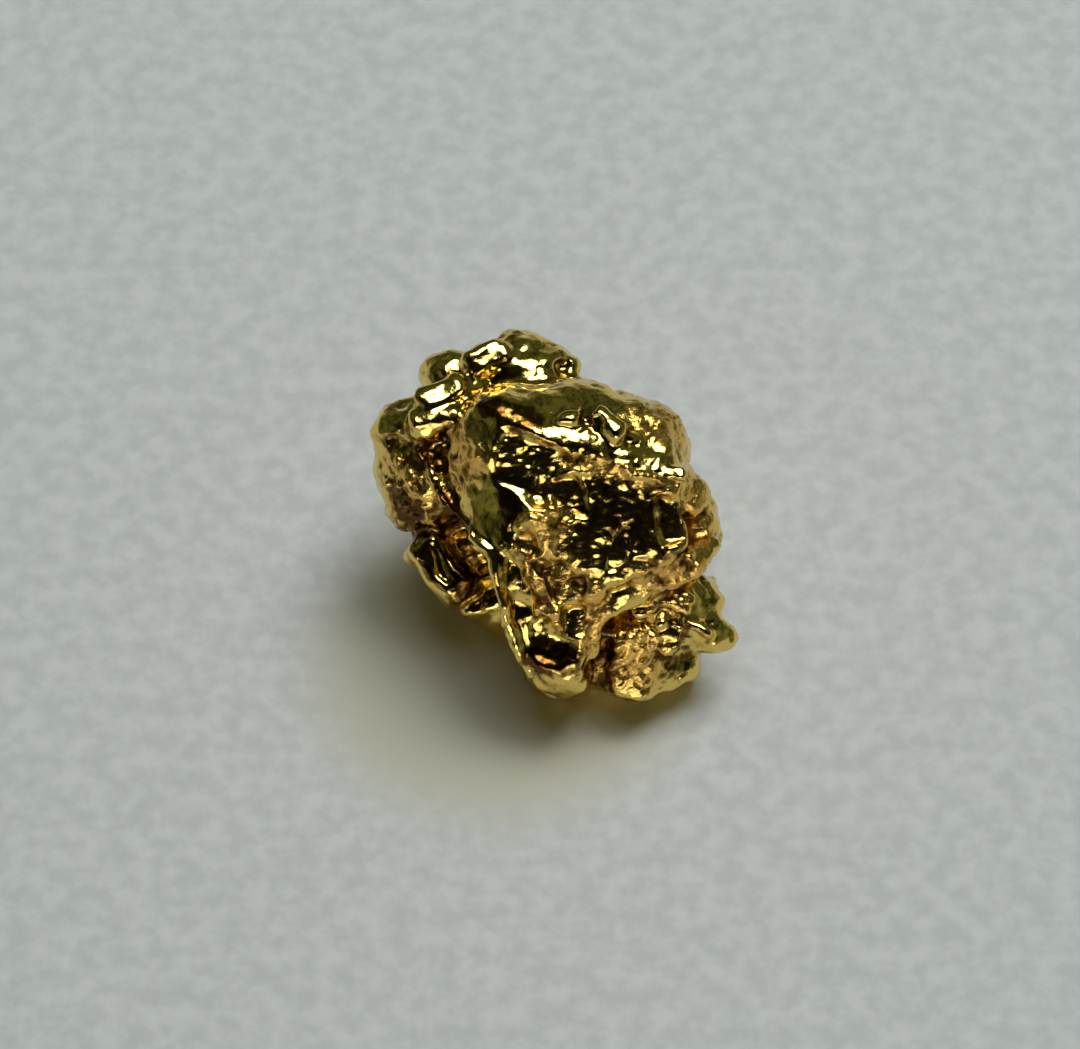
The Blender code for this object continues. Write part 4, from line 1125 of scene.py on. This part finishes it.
@dataclass(frozen=True)
class Relief:
    """The low relief that runs over the whole skin: waves, knobs, pits and streaks, in mm."""

    sizes: tuple[tuple[str, float], ...] = (
        ("Wave height", 0.030),
        ("Wave size", 0.42),
        ("Knob height", 0.12),
        ("Knob size", 0.27),
        ("Bump height", 0.050),
        ("Bump size", 0.13),
        ("Grit height", 0.012),
        ("Grit size", 0.07),
        ("Pit depth", 0.05),
        ("Pit size", 0.24),
        ("Pinhole depth", 0.030),
        ("Pinhole size", 0.09),
        ("Streak height", 0.014),
        ("Streak pitch", 0.085),
        ("Seed", 4.0),
    )
    streak_direction: Triple = (0.55, 0.35, -0.75)
    rest_fade: float = 0.25  # height over which it fades out towards the resting face
    bends: float = 4.5  # how many bends of the knobs and pits there are to a mm
    bend_reach: float = 0.28
    polish: float = 0.62  # how much of the relief polishing takes away
    least_knobs: float = 0.15  # shares of the relief that are left outside its own skin
    least_bumps: float = 0.45
    least_grit: float = 0.3
    least_pits: float = 0.08
    pit_edges: Pair = (0.02, 0.42)  # noise at which a pit starts and is full
    pinhole_edges: Pair = (0.08, 0.42)

    def tree(self) -> bpy.types.NodeTree:
        """Builds the node tree, which moves each vertex along its normal."""
        group = bpy.data.node_groups.new("nugget relief", "GeometryNodeTree")
        tree = Tree(group)
        group.interface.new_socket("Geometry", in_out="OUTPUT", socket_type="NodeSocketGeometry")
        group.interface.new_socket("Geometry", in_out="INPUT", socket_type="NodeSocketGeometry")
        for name, size in self.sizes:
            made = group.interface.new_socket(name, in_out="INPUT", socket_type="NodeSocketFloat")
            made.default_value = size
        group.interface.new_socket("Metal", in_out="INPUT", socket_type="NodeSocketMaterial")
        skin = tree.node("NodeGroupInput")
        place = tree.scaled(tree.node("GeometryNodeInputPosition"), 1.0 / METRES)
        height = self.height(tree, skin, place)
        offset = tree.scaled(tree.node("GeometryNodeInputNormal"), height * METRES)
        kept = tree.node(
            "GeometryNodeStoreNamedAttribute",
            {"data_type": "FLOAT", "domain": "POINT"},
            {"Geometry": skin, "Name": "sunk", "Value": 0.0 - height},
        )
        moved = tree.node("GeometryNodeSetPosition", values={"Geometry": kept, "Offset": offset})
        smooth = tree.node("GeometryNodeSetShadeSmooth", values={"Geometry": moved})
        real = tree.node("GeometryNodeRealizeInstances", values={"Geometry": smooth})
        metal = skin.other("Metal")
        dressed = tree.node("GeometryNodeSetMaterial", values={"Geometry": real, "Material": metal})
        tree.node("NodeGroupOutput", values={"Geometry": dressed})
        return group

    def height(self, tree: Tree, skin: Signal, place: Signal) -> Signal:
        """How far each vertex moves out, in mm.

        Args:
            tree: The tree under construction.
            skin: The group's inputs.
            place: Position in mm.

        Returns:
            The height.
        """

        def size(name: str) -> Signal:
            """One of the tree's named sizes."""
            return skin.other(name)

        def layer(name: str, where: Signal, shift: float, detail: float = 1.0) -> Signal:
            """The noise of one kind of relief."""
            return tree.noise(where, 1.0 / size(f"{name} size"), detail, seed + shift)

        def share(mask: Signal, least: float) -> Signal:
            """Least where the mask is 0, and 1 where it is 1."""
            return mask * (1.0 - least) + least

        seed = size("Seed")
        polished, worn, pitted, streaked, knobbly = (
            self.read(tree, kind.value)
            for kind in (Skin.POLISHED, Skin.WORN, Skin.PITTED, Skin.STREAKED, Skin.KNOBBLY)
        )
        bent = tree.node(
            "ShaderNodeTexNoise",
            {"noise_dimensions": "4D"},
            {"Vector": place, "W": seed + 31.0, "Scale": self.bends, "Detail": 1.0},
            "Color",
        )
        reach = (self.bend_reach,) * 3
        bent = tree.node("ShaderNodeVectorMath", {"operation": "MULTIPLY_ADD"}, {0: bent, 1: reach, 2: place})
        along = tree.node(
            "ShaderNodeVectorMath", {"operation": "DOT_PRODUCT"}, {0: bent, 1: self.streak_direction}, "Value"
        )
        waves = layer("Wave", place, 0.0) * size("Wave height")
        knobs = layer("Knob", bent, 7.0) * size("Knob height") * share(knobbly, self.least_knobs)
        bumps = layer("Bump", bent, 9.0) * size("Bump height") * share(worn, self.least_bumps)
        grit = layer("Grit", bent, 13.0) * size("Grit height") * (self.least_grit + worn)
        pits = layer("Pit", bent, 17.0, 0.0).ramp(*self.pit_edges) * size("Pit depth")
        holes = layer("Pinhole", bent, 23.0, 0.0).ramp(*self.pinhole_edges) * size("Pinhole depth")
        streaks = (along * math.tau / size("Streak pitch")).sine() * size("Streak height") * streaked
        relief = waves + knobs + bumps + grit - (pits + holes) * share(pitted, self.least_pits)
        lifted = tree.node("ShaderNodeSeparateXYZ", values={0: place}, output="Z").ramp(0.0, self.rest_fade)
        return (relief * (1.0 - polished * self.polish) + streaks) * lifted

    @staticmethod
    def read(tree: Tree, name: str) -> Signal:
        """A number that the mesh holds at each vertex."""
        kind = "GeometryNodeInputNamedAttribute"
        return tree.node(kind, {"data_type": "FLOAT"}, {"Name": name}, "Attribute")

    def apply(self, nugget: bpy.types.Object, metal: bpy.types.Material) -> None:
        """Runs the tree on the nugget and keeps the result as its plain mesh.

        Args:
            nugget: Object with the attributes that the tree reads.
            metal: Material that the tree sets.
        """
        group = self.tree()
        modifier = nugget.modifiers.new("relief", "NODES")
        modifier.node_group = group
        for item in group.interface.items_tree:
            if item.name == "Metal" and item.in_out == "INPUT":
                modifier[item.identifier] = metal
        bake_modifiers(nugget)


def bake_modifiers(nugget: bpy.types.Object) -> None:
    """Makes the modified mesh the object's own, and removes the modifiers."""
    bpy.context.view_layer.update()
    evaluated = nugget.evaluated_get(bpy.context.evaluated_depsgraph_get())
    baked = bpy.data.meshes.new_from_object(evaluated)
    previous = nugget.data
    nugget.modifiers.clear()
    nugget.data = baked
    bpy.data.meshes.remove(previous)
    baked.name = nugget.name


@dataclass
class Nugget:
    """The gold nugget: one skin of even faces, settled onto its form, with low relief over it."""

    form: NuggetForm = field(default_factory=NuggetForm)
    relief: Relief = field(default_factory=Relief)
    finish: GoldFinish = field(default_factory=GoldFinish)
    first_grid: float = 0.12
    first_rounds: int = 4  # of settling on the first grid
    rounds: int = 3
    step_share: float = 0.4  # most that a vertex moves in a round, as a share of the grid
    relax_share: float = 0.5
    fine_grids: tuple[float, ...] = (0.07, 0.038)
    quick_grids: tuple[float, ...] = (0.07, 0.05)
    least_steepness: float = 0.2  # keeps a vertex from leaping where the form is nearly level
    rest_cut: float = 0.02  # how much of the underside is planed off
    hollow_reach: float = 0.16  # how far out the form is felt to find its hollows
    clearance: float = 0.004  # how far the skin stays inside the solid's box
    name: str = "gold_nugget"
    shift: Vector = field(default_factory=Vector)  # from the form's own place to the solid's, in metres

    def build(self) -> bpy.types.Object:
        """Makes the nugget, dressed and in its place in metres.

        Returns:
            Its object.
        """
        nugget = self.rough_mass()
        bpy.context.scene.collection.objects.link(nugget)
        self.fuse(nugget, self.first_grid)
        self.settle(nugget, self.first_rounds, self.first_grid)
        for grid in self.fine_grids:
            self.fuse(nugget, grid)
            self.settle(nugget, self.rounds, self.step_share * grid)
        self.write_skins(nugget)
        self.to_metres(nugget)
        self.relief.apply(nugget, self.finish.material())
        self.fit_box(nugget)
        return nugget

    def rough_mass(self) -> bpy.types.Object:
        """All that adds to the nugget, as overlapping solids in one mesh object."""
        upright = Matrix.Identity(4)
        leaning = Matrix.Translation((0.0, 0.0, FRAME_HEIGHT)) @ STANDING_TO_SLOPING.transposed().to_4x4()
        mass = bmesh.new()
        for block in (UPPER_BLOCK, LOWER_BLOCK, SIDE_BLOCK):
            self.add_block(mass, block, leaning)
        self.add_block(mass, self.form.back_block, upright)
        for region in (*self.form.regions, self.form.back):
            frame_place = leaning if region.frame is Frame.SLOPING else upright
            for feature in region.masses + region.ridges:
                self.add_feature(mass, feature, frame_place)
        mesh = bpy.data.meshes.new(self.name)
        mass.to_mesh(mesh)
        mass.free()
        return bpy.data.objects.new(self.name, mesh)

    @staticmethod
    def add_block(mass: bmesh.types.BMesh, block: Block, place: Matrix) -> None:
        """Adds a cube cut down by each facet.

        Args:
            mass: Mesh that it is added to.
            block: The block.
            place: Takes its frame to the standing frame.
        """
        piece = bmesh.new()
        bmesh.ops.create_cube(piece, size=FAR)
        for facet in block.facets:
            geometry = piece.verts[:] + piece.edges[:] + piece.faces[:]
            cut = bmesh.ops.bisect_plane(
                piece, geom=geometry, plane_co=facet.at, plane_no=facet.facing, clear_outer=True
            )
            edges = [part for part in cut["geom_cut"] if isinstance(part, bmesh.types.BMEdge)]
            bmesh.ops.holes_fill(piece, edges=edges)
        bmesh.ops.recalc_face_normals(piece, faces=piece.faces[:])
        bmesh.ops.transform(piece, matrix=place, verts=piece.verts[:])
        mesh = bpy.data.meshes.new("block")
        piece.to_mesh(mesh)
        piece.free()
        mass.from_mesh(mesh)
        bpy.data.meshes.remove(mesh)

    @staticmethod
    def add_feature(mass: bmesh.types.BMesh, feature: Feature, place: Matrix) -> None:
        """Adds a lump, slab or strand.

        Args:
            mass: Mesh that it is added to.
            feature: The feature.
            place: Takes its frame to the standing frame.
        """
        if isinstance(feature, Strand):
            for start, end in zip(feature.points[:-1], feature.points[1:]):
                first, last = Vector(start[:3]), Vector(end[:3])
                beads = max(2, math.ceil((last - first).length / (BEAD_SPACING * min(start[3], end[3]))))
                for index in range(beads + 1):
                    share = index / beads
                    radius = start[3] + (end[3] - start[3]) * share
                    bead = place @ Matrix.Translation(first.lerp(last, share))
                    bmesh.ops.create_icosphere(mass, subdivisions=BEAD_DETAIL, radius=radius, matrix=bead)
            return
        sizes = Matrix.Diagonal((*feature.half, 1.0))
        if isinstance(feature, Slab):
            turned = Matrix(feature.axes().tolist()).transposed().to_4x4()
            at = place @ Matrix.Translation(feature.at) @ turned @ sizes
            bmesh.ops.create_cube(mass, size=2.0, matrix=at)
            return
        turned = Matrix.Rotation(math.radians(feature.turn), 4, "Z")
        at = place @ Matrix.Translation(feature.at) @ turned @ sizes
        bmesh.ops.create_icosphere(mass, subdivisions=LUMP_DETAIL, radius=1.0, matrix=at)

    @staticmethod
    def fuse(nugget: bpy.types.Object, grid: float) -> None:
        """Fuses what overlaps into one skin of even faces.

        Args:
            nugget: The object.
            grid: Size of the faces.
        """
        remesh = nugget.modifiers.new("fuse", "REMESH")
        remesh.mode = "VOXEL"
        remesh.voxel_size = grid
        bake_modifiers(nugget)

    def relax(self, nugget: bpy.types.Object) -> None:
        """Evens out stray vertices."""
        smooth = nugget.modifiers.new("relax", "SMOOTH")
        smooth.factor = self.relax_share
        smooth.iterations = 1
        bake_modifiers(nugget)

    @staticmethod
    def corners(nugget: bpy.types.Object) -> Points:
        """Its vertices as an array."""
        points = np.empty(len(nugget.data.vertices) * 3)
        nugget.data.vertices.foreach_get("co", points)
        return points.reshape(-1, 3)

    @staticmethod
    def move_corners(nugget: bpy.types.Object, points: Points) -> None:
        """Puts its vertices at the points."""
        nugget.data.vertices.foreach_set("co", points.ravel())
        nugget.data.update()

    def settle(self, nugget: bpy.types.Object, rounds: int, longest_step: float) -> None:
        """Moves each vertex onto the form, and evens out the skin after each round.

        Args:
            nugget: The object.
            rounds: How often.
            longest_step: Most that a vertex moves in a round.
        """
        for _ in range(rounds):
            points = self.corners(nugget)
            distance = self.form.distance(points)
            slope = self.form.slope(points, distance)
            steepness = np.maximum((slope**2).sum(axis=1), self.least_steepness)
            step = slope * (distance / steepness)[:, None]
            length = np.linalg.norm(step, axis=1)
            share = np.minimum(1.0, longest_step / np.maximum(length, TINY))
            self.move_corners(nugget, points - step * share[:, None])
            self.relax(nugget)

    def write_skins(self, nugget: bpy.types.Object) -> None:
        """Stores on each vertex how polished, worn, pitted, streaked, knobbly and hollow it is there, and its
        dirt and painted shade; the metal darkens the hollows as painted shade.
        """
        points = self.corners(nugget)
        sloping = to_sloping(points)
        for skin, places in SKINS.items():
            self.store(nugget, skin.value, np.max([place.mask(sloping) for place in places], axis=0))
        normals = np.empty(len(points) * 3)
        nugget.data.vertices.foreach_get("normal", normals)
        outside = points + normals.reshape(-1, 3) * self.hollow_reach
        crowding = 1.0 - self.form.distance(outside) / self.hollow_reach
        self.store(nugget, "hollow", np.clip(crowding, 0.0, 1.0))

    @staticmethod
    def store(nugget: bpy.types.Object, name: str, values: np.ndarray) -> None:
        """Gives each vertex a number under that name."""
        attribute = nugget.data.attributes.new(name, "FLOAT", "POINT")
        attribute.data.foreach_set("value", values.astype(np.float32))

    def to_metres(self, nugget: bpy.types.Object) -> None:
        """Planes the underside, sets it on the floor and takes the mesh to metres."""
        points = self.corners(nugget)
        points[:, 2] = np.maximum(points[:, 2], self.rest_cut) - self.rest_cut
        self.move_corners(nugget, points * METRES)

    def fit_box(self, nugget: bpy.types.Object) -> None:
        """Centres the skin on the solid's box and keeps it just inside."""
        points = self.corners(nugget)
        low, high = (np.array(corner) for corner in CAD_BOX)
        middle = (points.min(axis=0) + points.max(axis=0)) / 2.0
        room = (high - low) - 2.0 * self.clearance * METRES
        shrink = min(1.0, float((room / (points.max(axis=0) - points.min(axis=0))).min()))
        LOG.info("%s fits the box at %.4f of its size", self.name, shrink)
        points = (points - middle) * shrink
        points[:, :2] += ((low + high) / 2.0)[:2]
        points[:, 2] -= points[:, 2].min()
        self.move_corners(nugget, points)
        self.shift = Vector((*((low + high) / 2.0 - middle)[:2], 0.0))


# Paper, light and camera


@dataclass(frozen=True)
class Paper:
    """The pale floor, with painted shade tinted gold round the nugget."""

    size: float = 2.0
    colour: Colour = (0.78, 0.82, 0.82, 1.0)
    shade: Colour = (0.66, 0.70, 0.70, 1.0)
    painted_gold_shade: Colour = (0.67, 0.66, 0.54, 1.0)  # painted shadow, tinted gold like light thrown off the nugget
    painted_shade_centre: Triple = (-0.9, -1.3, 0.0)
    painted_shade_reach: Pair = (3.5, 1.9)  # radii where the painted shade starts and is full
    mottle_size: float = 0.35
    mottle_edges: Pair = (-0.35, 0.35)  # noise at which the paper is darkest and lightest
    roughness: float = 0.9

    def build(self) -> bpy.types.Object:
        """Makes the floor."""
        bpy.ops.mesh.primitive_plane_add(size=self.size)
        floor = bpy.context.object
        floor.name = "paper"
        floor.data.materials.append(self.material())
        return floor

    def material(self) -> bpy.types.Material:
        """Faintly mottled paper, with painted shade tinted gold round the nugget."""
        material = bpy.data.materials.new("paper")
        material.use_nodes = True
        tree = Tree(material.node_tree)
        place = tree.scaled(tree.node("ShaderNodeTexCoord", output="Object"), 1.0 / METRES)
        mottle = tree.sized_noise(place, self.mottle_size, detail=5.0, shift=0.0)
        colour = tree.blend_colours(mottle.ramp(*self.mottle_edges), self.shade, self.colour)
        # Painted shade, tinted gold, darkest near the nugget.
        away = tree.node(
            "ShaderNodeVectorMath", {"operation": "DISTANCE"}, {0: place, 1: self.painted_shade_centre}, "Value"
        )
        colour = tree.blend_colours(away.ramp(*self.painted_shade_reach), colour, self.painted_gold_shade)
        surface = tree.node(
            "ShaderNodeBsdfPrincipled", values={"Base Color": colour, "Roughness": self.roughness}
        )
        tree.node("ShaderNodeOutputMaterial", values={"Surface": surface})
        return material


class Lit(Enum):
    """What a lamp lights."""

    METAL = "metal"
    PAPER = "paper"


@dataclass(frozen=True)
class Lamp:
    """A soft oval light that looks at the nugget. Sizes and power are in metres and watts."""

    name: str
    azimuth: float
    rise: float
    distance: float
    width: float
    depth: float
    power: float
    colour: Triple = (1.0, 1.0, 0.97)
    target: Lit = Lit.METAL

    def build(self, centre: Vector) -> bpy.types.Object:
        """Makes the light.

        Args:
            centre: What it looks at.

        Returns:
            Its object.
        """
        light = bpy.data.lights.new(self.name, "AREA")
        light.shape = "ELLIPSE"
        light.size = self.width
        light.size_y = self.depth
        light.energy = self.power
        light.color = self.colour
        lamp = bpy.data.objects.new(self.name, light)
        toward = heading(self.azimuth, self.rise)
        lamp.location = centre + toward * self.distance
        lamp.rotation_euler = toward.to_track_quat("Z", "Y").to_euler()
        lamp.visible_glossy = self.target is Lit.METAL
        lamp.visible_diffuse = self.target is Lit.PAPER
        bpy.context.scene.collection.objects.link(lamp)
        return lamp


@dataclass(frozen=True)
class Studio:
    """The light round the nugget: a dim room, a dark place behind the camera and soft lamps."""

    room: Colour = (0.048, 0.060, 0.028, 1.0)
    horizon: Colour = (0.16, 0.17, 0.12, 1.0)
    horizon_edge: float = 30.0  # elevation in degrees where the brighter horizon ends
    horizon_full: float = 0.05  # sine of the elevation below which it is full
    shadow: Colour = (0.002, 0.0015, 0.0015, 1.0)
    shadow_reach: float = 34.0  # degrees from the camera's direction where the dark starts to fade
    shadow_edge: float = 54.0
    unevenness: float = 0.24  # size of the room's lighter and darker places
    contrast: float = 2.4  # between those places
    lean: float = 0.28  # how much lighter the room is on the right than in the middle
    lamps: tuple[Lamp, ...] = (
        Lamp("overhead", 125.0, 82.0, 0.20, 0.10, 0.10, 0.26, (0.95, 1.0, 0.92)),
        Lamp("front", 0.0, 16.0, 0.20, 0.15, 0.09, 0.072, (1.0, 0.97, 0.92)),
        Lamp("window", 135.0, 64.0, 0.25, 0.15, 0.15, 0.25, (1.0, 1.0, 1.0), Lit.PAPER),
        Lamp("ceiling", 160.0, 80.0, 0.25, 0.22, 0.22, 0.16, (1.0, 1.0, 1.0), Lit.PAPER),
    )

    def build(self, centre: Vector) -> None:
        """Makes the room and the lamps round that centre."""
        world = bpy.data.worlds.new("room")
        world.use_nodes = True
        tree = Tree(world.node_tree)
        toward = tree.node("ShaderNodeTexCoord", output="Generated")
        facing = tree.node(
            "ShaderNodeVectorMath",
            {"operation": "DOT_PRODUCT"},
            {0: toward, 1: tuple(heading(0.0, SLOPE_DEG))},
            "Value",
        )
        edge = math.cos(math.radians(self.shadow_edge))
        core = math.cos(math.radians(self.shadow_reach))
        upward = tree.node("ShaderNodeSeparateXYZ", values={0: toward}, output="Z")
        side = tree.node("ShaderNodeSeparateXYZ", values={0: toward}, output="X")
        places = tree.sized_noise(toward, self.unevenness, detail=2.0, shift=3.0)
        low = upward.ramp(math.sin(math.radians(self.horizon_edge)), self.horizon_full)
        colour = tree.blend_colours(low, self.room, self.horizon)
        colour = tree.scaled(colour, places * self.contrast + 1.0 + side * self.lean)
        colour = tree.blend_colours(facing.ramp(edge, core), colour, self.shadow)
        background = tree.node("ShaderNodeBackground", values={"Color": colour, "Strength": 1.0})
        tree.node("ShaderNodeOutputWorld", values={"Surface": background})
        bpy.context.scene.world = world
        for lamp in self.lamps:
            lamp.build(centre)


@dataclass(frozen=True)
class Viewpoint:
    """The camera: it looks down the slope's normal from a long way off."""

    distance: float = 0.10
    sensor: float = 36.0
    across: float = -15.0  # pixels from the sloping frame's origin to the middle of the image
    up: float = -9.5
    clip: Pair = (0.1, 100.0)  # nearest and farthest that it sees, as shares of its distance

    def build(self, shift: Vector) -> bpy.types.Object:
        """Makes the camera and gives it to the scene.

        Args:
            shift: How far the nugget was moved from its form's own place.

        Returns:
            The camera.
        """
        data = bpy.data.cameras.new("camera")
        data.sensor_width = self.sensor
        data.lens = self.sensor * self.distance / (IMAGE_WIDTH * PIXEL * METRES)
        data.clip_start, data.clip_end = (self.distance * share for share in self.clip)
        camera = bpy.data.objects.new("camera", data)
        toward = heading(0.0, SLOPE_DEG)
        rise = Vector((0.0, SLOPE_SIN, SLOPE_COS))
        aim = Vector((self.across * PIXEL, 0.0, FRAME_HEIGHT)) + rise * self.up * PIXEL
        camera.location = aim * METRES + shift + toward * self.distance
        camera.rotation_euler = toward.to_track_quat("Z", "Y").to_euler()
        bpy.context.scene.collection.objects.link(camera)
        bpy.context.scene.camera = camera
        return camera


def main() -> None:
    """Builds the nugget, the paper, the light and the camera."""
    logging.basicConfig(level=logging.INFO, format="%(name)s: %(message)s")
    noise.seed_set(WAVE_SEED)
    gold = Nugget()
    nugget = gold.build()
    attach(nugget, "root")
    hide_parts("nugget")
    LOG.info("%s has %d faces", nugget.name, len(nugget.data.polygons))
    floor = Paper().build()
    LOG.info("%s is %.1f m wide", floor.name, floor.dimensions.x)
    Studio().build(Vector((0.0, 0.0, FRAME_HEIGHT * METRES)) + gold.shift)
    camera = Viewpoint().build(gold.shift)
    LOG.info("%s stands %.2f m away", camera.name, camera.location.length)
    bpy.context.scene.view_settings.view_transform = "Standard"


if __name__ == "__main__":
    main()
